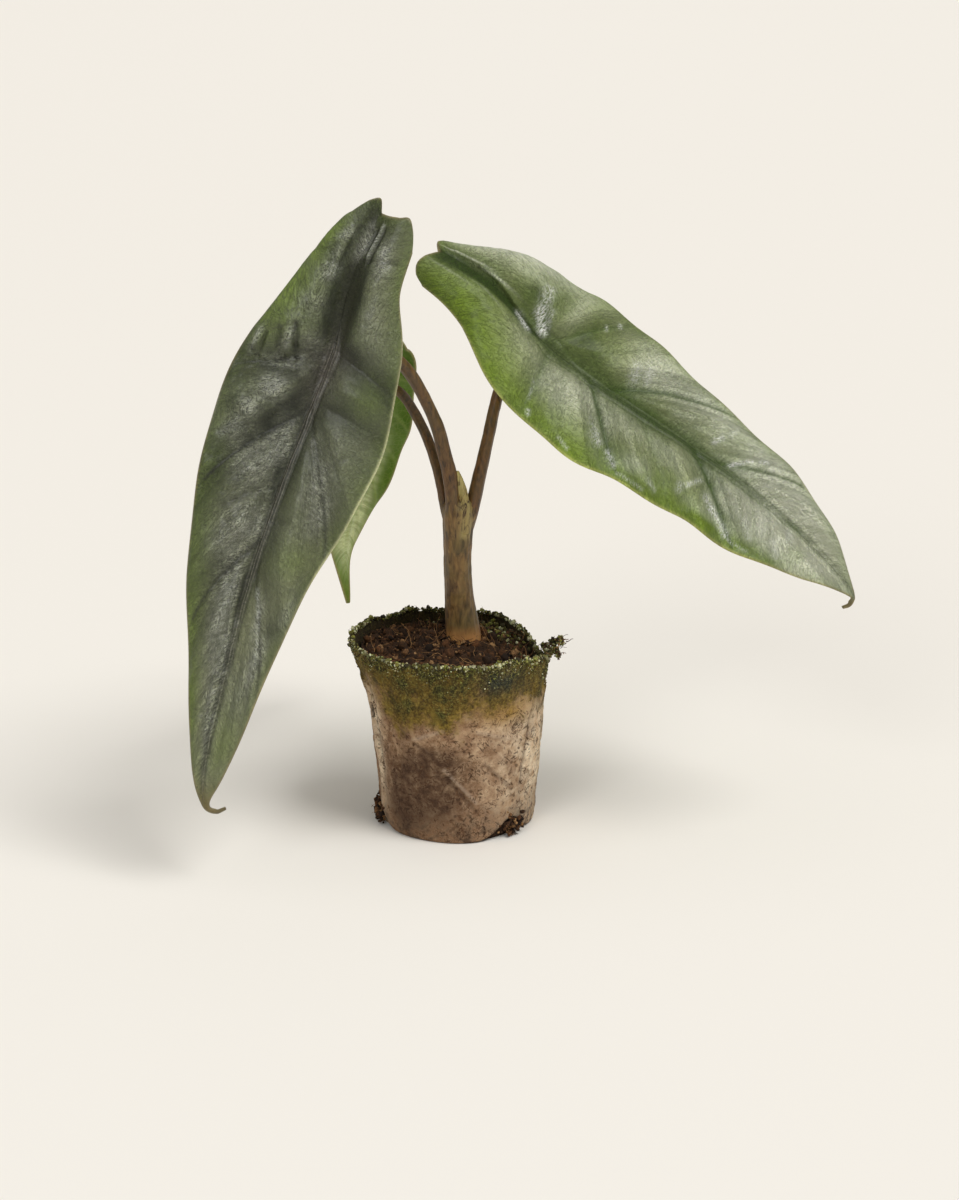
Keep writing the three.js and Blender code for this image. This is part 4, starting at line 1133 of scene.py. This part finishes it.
def foot_height(angle):
    return sum(height * rise(angle_from(angle, at) / spread) for at, height, spread in FOOT_NOTCHES)


def sleeve_radius(angle, z):
    heights, radii = np.array(SLEEVE_PROFILE).T
    # The profile runs on past its last height
    radius = np.interp(z, heights, radii) + np.maximum(0, z - heights[-1]) * SLEEVE_FLARE
    dents = sum(deep * np.sin(many * angle + twist * z + start) for many, deep, twist, start in SLEEVE_DENTS)
    return radius + dents


def sleeve_shift(z):
    return RIM_SHIFT * (np.maximum(z, 0) / RIM_HEIGHT) ** RIM_SHIFT_POWER


def on_pot(radius, angle, z):
    shape = np.broadcast_shapes(np.shape(radius), np.shape(angle), np.shape(z))
    z = np.broadcast_to(z, shape)
    x = sleeve_shift(z) + radius * np.cos(angle)
    return np.stack([np.broadcast_to(x, shape), np.broadcast_to(radius * np.sin(angle), shape), z], axis=-1)


def soil_top(angle, share):
    edge = rim_height(angle) - SOIL_BELOW_RIM
    middle = RIM_HEIGHT - SOIL_BELOW_RIM + SOIL_MOUND
    clods = sum(
        np.sin(many * angle + swirl * np.sin(inward * share)) * np.cos(inward * share + bend * np.sin(angle))
        for many, inward, bend, swirl in SOIL_CLODS
    )
    return mix(middle, edge, share**2) + SOIL_CLOD * clods * np.sqrt(share)


def soil_place(angle, share, lift=0.0):
    """A point on the soil, at a share of the way from the middle to the sleeve."""
    edge = soil_top(angle, 1.0)
    radius = (sleeve_radius(angle, edge) - SLEEVE_WALL - GAP) * share
    x = sleeve_shift(edge) + radius * np.cos(angle)
    return np.stack([x, radius * np.sin(angle), soil_top(angle, share) + lift], axis=-1)


# A hole in the paper, and its patches: angle, height, half-widths round and up, in degrees and millimetres
PAPER_HOLE = (199, 31, 2.2, 1.9)
WET_PATCHES = [
    (240, 16, 28, 9), (228, 8, 16, 7), (258, 22, 18, 4), (255, 12, 20, 6), (80, 10, 30, 8), (150, 7, 20, 6),
    (10, 8, 20, 5),
]
BLUE_PATCHES = [(301, 43.2, 15, 3.6)]
GOLDEN_PATCHES = [(306, 34.5, 20, 3.2)]
# Painted light on the sides that face the light, and where the stain reaches further down
PAINTED_LIGHT_PATCHES = [(340, 20, 40, 30), (2, 22, 16, 26), (202, 24, 9, 20)]
STAIN_PATCHES = [(232, 34, 16, 8), (262, 34, 10, 6), (120, 32, 25, 7)]
# Folds of the paper: the angles and heights of their ends, half-width and how far they stand out
PAPER_FOLDS = [
    (262, 20, 284, 11, 0.28), (262, 18.5, 282, 9.5, -0.22), (196, 44, 200, 6, 0.5), (203, 40, 207, 8, -0.4),
    (330, 40, 322, 14, -0.35), (285, 30, 318, 26, 0.3), (228, 30, 252, 24, -0.3), (238, 27, 262, 31, 0.25),
    (290, 21, 312, 13, -0.3), (60, 38, 75, 10, 0.4), (130, 35, 118, 12, -0.4), (100, 24, 126, 18, 0.3),
    (20, 30, 36, 14, -0.35), (160, 26, 178, 32, 0.3),
]
FOLD_WIDTH = 0.6
# Radius in millimetres at which the sleeve is laid flat
SLEEVE_SPAN = 22
# Frays round the rim, and how deep they go
FRAYS = 120
FRAY_DEPTH = 0.35


def on_line(angle, z, line):
    """1 on a straight fold between two places on the sleeve."""
    at, low, to, high, _ = line
    degree = math.radians(SLEEVE_SPAN)
    x, y = angle_from(angle, at) * degree, z - low
    run, up = (to - at) * degree, high - low
    along = np.clip((x * run + y * up) / (run**2 + up**2), 0, 1)
    return rise(np.hypot(x - along * run, y - along * up) / FOLD_WIDTH)


def on_paper(angle, z, spot):
    at, height, wide, high = spot
    return rise(np.hypot(angle_from(angle, at) / wide, (z - height) / high))


def sleeve(material):
    """The paper sleeve with its creases, felted surface, hole and ragged rim."""
    sectors, rows = 400, 96
    angle = np.arange(sectors) * TAU / sectors
    fray = FRAY_DEPTH * noise(np.stack([FRAYS * angle / TAU, 0 * angle, 0 * angle], axis=-1), 1.0, 3)
    low, high = foot_height(angle), rim_height(angle) + 0.5 * fray
    skins, values, sheets = [], [], []
    for inset, order in ((0.0, np.linspace(0, 1, rows + 1)), (SLEEVE_WALL, np.linspace(1, 0, 25))):
        z = mix(low, high, order[:, None])
        radius = sleeve_radius(angle, z) - inset
        around = np.broadcast_to(angle, z.shape)
        flat = on_pot(radius, angle, z)
        felt = 0.13 * noise(flat, 2.0, 3) + 0.3 * noise(flat, 7.0, 2) - 0.1 * np.abs(noise(flat, 1.1, 2))
        for size, depth in ((11.0, 0.35), (5.0, 0.2)):
            crease = 1 - 4 * np.abs(noise(flat * [1, 1, 0.75] + size, size))
            felt = felt - depth * np.clip(crease, 0, 1) ** 2 * step(0.05, 0.3, order)[:, None]
        lines = [on_line(around, z, line) for line in PAPER_FOLDS]
        felt = felt + sum(line[4] * found for line, found in zip(PAPER_FOLDS, lines))
        hole = on_paper(around, z, PAPER_HOLE)
        fade = step(0, 0.03, order)[:, None] * step(1, 0.97, order)[:, None]
        radius = radius + (felt - 1.2 * step(0.35, 0.8, hole)) * (fade if inset == 0 else 0.3)
        skins.append(on_pot(radius, angle, z))
        kinds = (WET_PATCHES, BLUE_PATCHES, GOLDEN_PATCHES, PAINTED_LIGHT_PATCHES, STAIN_PATCHES)
        wet, blue, golden, painted_light, deeper = (sum(on_paper(around, z, spot) for spot in spots) for spots in kinds)
        ridge = sum(math.copysign(1, line[4]) * found for line, found in zip(PAPER_FOLDS, lines))
        sheets.append(np.stack([around * SLEEVE_SPAN, z, 0 * z + 3 * inset], axis=-1))
        inside = np.full(z.shape, float(inset > 0))
        below = rim_height(angle) - z
        hole, wet, low_down = step(0.25, 0.6, hole), np.clip(wet, 0, 1), step(14, 0, z)
        values.append([below, hole, wet, low_down, blue, golden, painted_light, deeper, ridge, inside])
    points = np.concatenate([skin.reshape(-1, 3) for skin in skins])
    points[:, 2] = np.maximum(points[:, 2], 0)
    count = len(points) // sectors
    faces = grid_faces(count, sectors, joined=True)
    last = (count - 1) * sectors
    j = np.arange(sectors)
    k = (j + 1) % sectors
    closing = np.stack([last + j, last + k, k, j], axis=1)
    names = ("below_rim", "hole", "wet", "low", "blue", "golden", "painted_light", "deeper", "ridge", "inside")
    data = {n: np.concatenate([v[i].ravel() for v in values]) for i, n in enumerate(names)}
    data["sheet"] = np.concatenate([sheet.reshape(-1, 3) for sheet in sheets])
    faces = np.concatenate([faces, closing]).tolist()
    return add_piece("paper_sleeve", points, faces, [material], ["paper_sleeve"], data)


def paper_material():
    g = Graph("paper", 0.93, Specular_IOR_Level=0.25)
    place, sheet = g.place(), g.attribute("sheet")
    cloud = g.noise(place, 9, 4, 0.6)
    blotch = g.noise(place, 2.6, 5, 0.68)
    crumb = g.noise(place, 0.7, 4, 0.65)
    fibre, across = (g.noise(g.turned(sheet, *way, 0.3), 1, 4, 0.7, 1.5) for way in ((20, 1), (110, 1.2)))
    felt = g.math("MAXIMUM", fibre, across)
    g.shade = g.ramp(blotch, (0.32, "705036"), (0.46, "9e7a5a"), (0.64, "caa884"))
    # Painted light on the sleeve's lit right side and left edge, paler in the blotches
    g.over(g.mix(g.range(blotch, 0.35, 0.6), "d8b690", "ffecce"), "painted_light")
    g.over("e2c8a6", g.range(felt, 0.55, 0.75), 0.6)
    g.over("684c36", g.range(g.math("MINIMUM", fibre, across), 0.42, 0.3), 0.5)
    g.over("7e5d44", g.range(cloud, 0.45, 0.65), 0.5)
    g.over("422e21", "wet", g.range(blotch, 0.25, 0.65, 1, 0.55))
    # Painted light on the folds that stand out and painted shade in the sunk ones
    g.over("ceb8a0", g.range("ridge", 0.1, 1), 0.45)
    g.over("463226", g.range("ridge", -0.1, -1), 0.5)
    g.over("a8823c", "golden", g.range(blotch, 0.35, 0.55, 0.5, 0.95))
    # Fine roots and their remains: thin wandering lines, broken up, short dashes, and specks
    for size, bend, far in ((5.0, 1.2, 0.016), (2.6, 2.0, 0.022)):
        wander = g.math("ABSOLUTE", g.math("SUBTRACT", g.noise(place, size, 3, 0.5, bend), 0.5))
        g.over("462e1e", g.range(wander, far, 0.3 * far), g.range(g.noise(place, 3.4), 0.5, 0.57), 0.8)
    for *way, lump in ((15, 3, 0.75, 5), (75, 2.4, 0.7, 6.5), (-48, 2.7, 0.8, 4.5), (130, 1.3, 0.9, 7.5)):
        dash = g.noise(g.turned(sheet, *way), 1, 2, 0.45)
        dash = g.math("ADD", dash, g.range(g.noise(place, lump), 0.35, 0.65, -0.09, 0.06))
        g.over("422d1d", g.range(dash, 0.655, 0.71), 0.75)
    spots = g.math("ADD", g.noise(place, 1.5, 3, 0.6), g.range(g.noise(place, 6), 0.35, 0.65, -0.08, 0.04))
    g.over("5c402a", g.range(spots, 0.58, 0.66), 0.6)
    speck = g.times(g.range(g.cells(place, 1.9), 0.3, 0.08), g.range(cloud, 0.4, 0.6))
    g.over("3c281b", g.range(speck, 0.15, 0.5), 0.6)
    g.over("3c291c", "low", g.range(blotch, 0.42, 0.6), 0.85)
    # Algae stain the paper below the rim, with an uneven lower edge
    edge = g.math("ADD", "below_rim", g.range(cloud, 0.2, 0.8, 6, -6))
    edge = g.math("ADD", edge, g.range(blotch, 0.2, 0.8, 5, -5))
    edge = g.math("SUBTRACT", edge, g.times("deeper", 6))
    tone = g.ramp(crumb, (0.32, "362a0e"), (0.5, "705a1e"), (0.66, "a68a3e"))
    patch = g.noise(g.place(z=600), 3.4, 4, 0.6)
    tone = g.mix(g.range(patch, 0.5, 0.36, 0, 0.75), tone, "363212")
    tone = g.mix(g.range(patch, 0.54, 0.66, 0, 0.6), tone, "a48c3a")
    g.over(tone, g.range(edge, 16, 7.5), 0.94)
    g.over("3c3210", g.range(edge, 10, 3), g.range(blotch, 0.36, 0.6, 1, 0.3))
    black = g.mix(g.range(crumb, 0.45, 0.62), "242510", "585828")
    g.over(black, g.range(edge, 10, 4), g.range(g.noise(place, 5, 4, 0.6), 0.5, 0.6), 0.8)
    blue = g.mix(g.range(crumb, 0.48, 0.66), "252822", "505445")
    g.over(blue, "blue", g.range(blotch, 0.25, 0.5, 0.4, 1))
    g.over("a09a54", g.range(edge, 8, 0.5), g.range(g.noise(place, 0.45, 3, 0.6), 0.54, 0.64), 0.8)
    g.over("22160e", "hole")
    g.over("281e14", "inside", 0.8)
    return g.done((blotch, 0.5), (felt, 0.3), (crumb, 0.35))


def soil(material):
    """The soil with its clods above and a flat underside; the stem stands in it."""
    sectors, rings, rows = 300, 70, 12
    angle = np.arange(sectors) * TAU / sectors
    low = [on_pot(sleeve_radius(angle, 0) - SLEEVE_WALL - GAP, angle, 0 * angle)]
    for k in range(1, rows + 1):
        z = soil_top(angle, 1.0) * k / rows
        lumps = 0.3 * noise(on_pot(20, angle, z), 1.8, 2) - 0.3
        low.append(on_pot(sleeve_radius(angle, z) - SLEEVE_WALL - GAP + lumps, angle, z))
    top = []
    for k in range(rings - 1, 0, -1):
        flat = soil_place(angle, k / rings)
        level = flat * [1, 1, 0]
        clods = 1.1 - 2.6 * np.abs(noise(level, 3.6, 2))
        lumps = 0.8 * clods + 0.8 * noise(level, 1.9, 3) + 0.25 * noise(level, 0.8, 2)
        flat[:, 2] += lumps * step(1, 0.93, k / rings)
        top.append(flat)
    layers = np.array(low + top)
    points = np.concatenate([layers.reshape(-1, 3), [layers[0].mean(0)], [layers[-1].mean(0)]])
    values = {"grain": 0.35 + 0.3 * noise(points, 1.5, 2)}
    faces = capped_faces(len(layers), sectors)
    return add_piece("growing_medium", points, faces, [material], ["growing_medium"], values)


def soil_crumbs(material, rng):
    """Clods and crumbs on the soil, and the root knots at the frayed places of the foot."""
    parts = []
    for many, level, least, spread, power in SOIL_CRUMBS:
        share = np.sqrt(rng.uniform(0.0, 0.95, many))
        around = rng.uniform(0, TAU, many)
        radii = least + spread * rng.random(many) ** power
        places = soil_place(around, share, lift=0.1 + 0.45 * radii)
        x, y = STEM_FOOT
        clear = np.hypot(places[:, 0] - x, places[:, 1] - y) > STEM_CLEARANCE + radii
        inner = (1 - share) * SOIL_RADIUS > radii
        parts.append(crumbs(places[clear & inner], radii[clear & inner], rng, level))
    for at, out, z in ROOT_KNOTS:
        turn = np.radians(at + rng.normal(0, 4.5, KNOT_CRUMBS))
        far = out + 0.6 + rng.uniform(0, 1.5, KNOT_CRUMBS)
        up = z + 1.2 + rng.normal(0, 1.4, KNOT_CRUMBS)
        places = np.stack([far * np.cos(turn), far * np.sin(turn), up], axis=-1)
        radii = rng.uniform(0.2, 0.62, KNOT_CRUMBS)
        places[:, 2] = np.maximum(places[:, 2], 1.5 * radii)
        parts.append(crumbs(places, radii, rng, 2))
    points, faces, values = merge(parts)
    return add_piece("soil_crumbs", points, faces, [material], (), values)


def fibre_path(start, heading, length, rng, bend, count=8):
    """Points of a wandering fibre."""
    points, direction = [np.array(start, float)], unit(np.array(heading, float))
    for _ in range(count):
        direction = unit(direction + rng.normal(0, bend, 3))
        points.append(points[-1] + direction * length / count)
    return np.array(points)


def strands(paths, thicknesses, rng, sides=5, steps=8):
    """Thin tubes along the paths, each with a random grain."""
    parts = []
    for path, thick in zip(paths, thicknesses):
        taper = np.linspace(1, 0.45, len(path))
        points, faces = tube(np.column_stack([path, thick * taper]), sides, steps)
        parts.append((points, faces_as_triangles(faces), {"grain": np.full(len(points), rng.random())}))
    return merge(parts)


def faces_as_triangles(faces):
    found = []
    for face in faces:
        found.append(face[:3])
        if len(face) == 4:
            found.append([face[0], face[2], face[3]])
    return found


def coir(material, rng):
    """Fibres in the soil, in the tuft at the rim, and at the frayed foot."""
    paths, thick = [], []
    for _ in range(SOIL_FIBRES):
        turn, share = rng.uniform(0, TAU), math.sqrt(rng.uniform(0.02, 0.9))
        start = soil_place(turn, share, lift=rng.uniform(0.1, 0.9))
        heading = [rng.normal(), rng.normal(), rng.normal(0.15, 0.3)]
        path = fibre_path(start, heading, rng.uniform(2.5, 8), rng, 0.35)
        reach = np.hypot(path[:, 0] - sleeve_shift(SOIL_LEVEL), path[:, 1])
        ground = soil_top(np.arctan2(path[:, 1], path[:, 0]), np.clip(reach / SOIL_EDGE, 0, 1))
        path[:, 2] = np.maximum(path[:, 2], ground + 0.15)
        if reach.max() < SOIL_RADIUS:
            paths.append(path)
            thick.append(rng.uniform(0.05, 0.11))
    for x, y, z, radius in MOSS_TUFT:
        for _ in range(TUFT_FIBRES):
            start = np.array([x, y, z]) + rng.normal(0, 0.5 * radius, 3)
            heading = rng.normal(size=3) + [0.5, 0, 0.2]
            paths.append(fibre_path(start, heading, rng.uniform(1.2, 2.6), rng, 0.5))
            thick.append(rng.uniform(0.08, 0.2))
    for at, out, z in ROOT_KNOTS:
        for _ in range(KNOT_FIBRES):
            turn = math.radians(at + rng.normal(0, 4))
            ahead = np.array([math.cos(turn), math.sin(turn)])
            start = [*(out + 0.3) * ahead, max(0.5, z + rng.normal(0, 1))]
            path = fibre_path(start, [*ahead, -0.4 + rng.normal(0, 0.5)], rng.uniform(1.5, 4), rng, 0.5)
            path[:, 2] = np.maximum(path[:, 2], 0.15)
            paths.append(path)
            thick.append(rng.uniform(0.06, 0.14))
    points, faces, values = strands(paths, thick, rng)
    return add_piece("coir_fibres", points, faces, [material], (), values)


def soil_material():
    g = Graph("soil", 0.95, Specular_IOR_Level=0.3)
    place = g.place()
    fleck = g.noise(place, 0.5, 3, 0.6)
    g.shade = g.ramp("grain", (0, "1a110a"), (0.4, "422b18"), (0.75, "6c4628"), (1, "b88e60"))
    g.over("1c130d", g.range(fleck, 0.62, 0.42), 0.6)
    return g.done((fleck, 0.25), (g.noise(place, 0.2), 0.06))


def fibre_material():
    g = Graph("coir", 0.8, Specular_IOR_Level=0.35)
    streak = g.noise(g.place(), 0.4)
    g.shade = g.ramp("grain", (0, "342012"), (0.6, "684426"), (1, "b68a58"))
    g.over("3c261a", g.range(streak, 0.4, 0.6), 0.4)
    return g.done((streak, 0.03))


def moss_place(angle, across, up):
    """A point on the mossy rim: across runs from -1 inside to 1 outside."""
    foot = rim_height(angle)
    radius = sleeve_radius(angle, foot) - SLEEVE_WALL / 2 + across * 1.5
    return on_pot(radius, angle, foot + up * (1 - 0.5 * across**2))


def moss(material, rng):
    """Fine moss along the rim and a little down the paper, a mound at the back and the tuft at the right."""
    parts = []
    for many, level, least, more, spread, hanging in RIM_CRUMBS:
        around = rng.uniform(0, TAU, many)
        across = 0.6 * np.clip(rng.normal(0, spread, many), -1, 0.85)
        thickness = 0.7 + 0.4 * ripples([[11, 0.8, 0], [25, 0.5, 2], [41, 0.3, 1]], around)
        up = rng.uniform(0.0, 1.0, many) * np.maximum(0.15, thickness)
        places = moss_place(around, across, up)
        z = rim_height(around) - rng.exponential(1.7, many)
        low = on_pot(sleeve_radius(around, z) + 0.1, around, z)
        places = np.where((rng.random(many) < hanging)[:, None], low, places)
        parts.append(crumbs(places, least + more * rng.random(many) ** 2, rng, level))
    at, spread, many = MOSS_MOUND
    around = np.radians(rng.normal(at, spread, many))
    share = rng.uniform(0.62, 0.97, many)
    radii = rng.uniform(0.15, 0.6, many)
    places = soil_place(around, share, lift=0.2 + 1.6 * step(0.6, 0.97, share) * rng.random(many))
    parts.append(crumbs(places, radii, rng, 2))
    for x, y, z, radius in MOSS_TUFT:
        spread = unit(rng.normal(size=(TUFT_CRUMBS, 3))) * radius * rng.uniform(0.2, 0.85, (TUFT_CRUMBS, 1))
        parts.append(crumbs(np.array([x, y, z]) + spread, rng.uniform(0.12, 0.42, TUFT_CRUMBS), rng, 2))
    for at, wide, many in PALE_LUMPS:
        around = np.radians(rng.normal(at, wide, many))
        places = moss_place(around, rng.uniform(-0.2, 0.6, many), rng.uniform(0.5, 1.2, many))
        points, faces, values = crumbs(places, rng.uniform(0.12, 0.34, many), rng, 2)
        parts.append((points, faces, {"grain": 0.75 + 0.25 * values["grain"]}))
    points, faces, values = merge(parts)
    return add_piece("rim_moss", points, faces, [material], ["rim_moss"], values)


def moss_material():
    g = Graph("moss", 0.9, Subsurface_Weight=0.1, Subsurface_Scale=0.0008)
    place = g.place()
    fleck = g.noise(place, 0.6, 3, 0.6)
    darker = ((0, "221d0c"), (0.3, "4e4616"), (0.55, "7a7a26"))
    g.shade = g.ramp("grain", *darker, (0.78, "a6a654"), (0.93, "e8e6ba"))
    g.over("302612", g.range(g.noise(place, 4), 0.45, 0.65), 0.7)
    g.over("2c2610", g.range(fleck, 0.62, 0.4), 0.6)
    return g.done((fleck, 0.2))


# Surroundings

CAMERA_PLACE = (0.00577, -0.8389, 0.3305)
CAMERA_TILT = 72
# The photograph is upright, so the lens goes with the sensor's height
LENS = 105.3
SENSOR_HEIGHT = 36
FLOOR_SIZE = 60.0
# A little below the pot, so that the two faces never fight
FLOOR_LEVEL = -0.0002


def camera():
    data = bpy.data.cameras.new("camera")
    data.sensor_fit = "VERTICAL"
    data.sensor_height = SENSOR_HEIGHT
    data.lens = LENS
    data.clip_start = 0.01
    data.clip_end = 200
    seen = bpy.data.objects.new("camera", data)
    seen.location = CAMERA_PLACE
    seen.rotation_euler = (math.radians(CAMERA_TILT), 0, 0)
    bpy.context.scene.collection.objects.link(seen)
    bpy.context.scene.camera = seen


def floor():
    g = Graph("floor", 0.9, Specular_IOR_Level=0.1)
    g.shade = g.mix(g.range(g.noise(g.place(1, 1, 1), 3), 0.3, 0.7), "eeeae3", "f1eee8")
    g.tree.links.new(g.shade, g.shader.inputs["Base Color"])
    half, low = FLOOR_SIZE / 2, FLOOR_LEVEL
    corners = [(-half, -half, low), (half, -half, low), (half, half, low), (-half, half, low)]
    mesh = bpy.data.meshes.new("floor")
    mesh.from_pydata(corners, [], [[0, 1, 2, 3]])
    mesh.materials.append(g.material)
    made = bpy.data.objects.new("floor", mesh)
    bpy.context.scene.collection.objects.link(made)


def sun(name, azimuth, elevation, strength, width, tint=(1.0, 1.0, 1.0)):
    """Soft light from far away; azimuth 0 comes from the camera's side and 90 from the right."""
    data = bpy.data.lights.new(name, "SUN")
    data.energy = strength
    data.angle = math.radians(width)
    data.color = tint
    lamp = bpy.data.objects.new(name, data)
    lamp.rotation_euler = (math.radians(90 - elevation), 0, math.radians(azimuth))
    bpy.context.scene.collection.objects.link(lamp)


def surroundings():
    """A pale room that is brighter above, and three soft lights."""
    world = bpy.data.worlds.new("studio")
    world.use_nodes = True
    tree = world.node_tree
    ground = tree.nodes["Background"]
    ground.inputs["Color"].default_value = colour("f6f3ee")
    direction = tree.nodes.new("ShaderNodeTexCoord").outputs["Generated"]
    height = tree.nodes.new("ShaderNodeSeparateXYZ")
    level = tree.nodes.new("ShaderNodeMapRange")
    level.inputs["To Min"].default_value = 0.16
    level.inputs["To Max"].default_value = 0.67
    tree.links.new(direction, height.inputs[0])
    tree.links.new(height.outputs["Z"], level.inputs["Value"])
    tree.links.new(level.outputs[0], ground.inputs["Strength"])
    bpy.context.scene.world = world
    sun("key_light", 52, 56, 1.65, 28, (1.0, 0.99, 0.97))
    sun("left_light", -26, 33, 0.65, 24)
    sun("right_light", 84, 60, 0.16, 9)
    bpy.context.scene.view_settings.view_transform = "Standard"


camera()
floor()
surroundings()

dark_leaf = [leaf_material("dark_leaf", DARK_LOOK), underside_material("dark_underside", DARK_LOOK)]
bright_leaf = [leaf_material("bright_leaf", BRIGHT_LOOK), underside_material("bright_underside", BRIGHT_LOOK)]
# Rows along the blade, and columns across each half of it
leaf("leaf_left", LEFT_LEAF, 340, 70, dark_leaf)
leaf("leaf_right", RIGHT_LEAF, 340, 70, bright_leaf)
leaf("leaf_rear", REAR_LEAF, 200, 40, bright_leaf)

stem(stem_material())
stalk_skin = stalk_material()
stalk("petiole_left", stalk_rows(LEFT_STALK, LEFT_LEAF), stalk_skin)
stalk("petiole_right", stalk_rows(RIGHT_STALK, RIGHT_LEAF), stalk_skin)
stalk("petiole_rear", stalk_rows(REAR_STALK, REAR_LEAF), stalk_skin)

sleeve(paper_material())
earth = soil_material()
soil(earth)
soil_crumbs(earth, np.random.default_rng(3))
coir(fibre_material(), np.random.default_rng(5))
moss(moss_material(), np.random.default_rng(8))
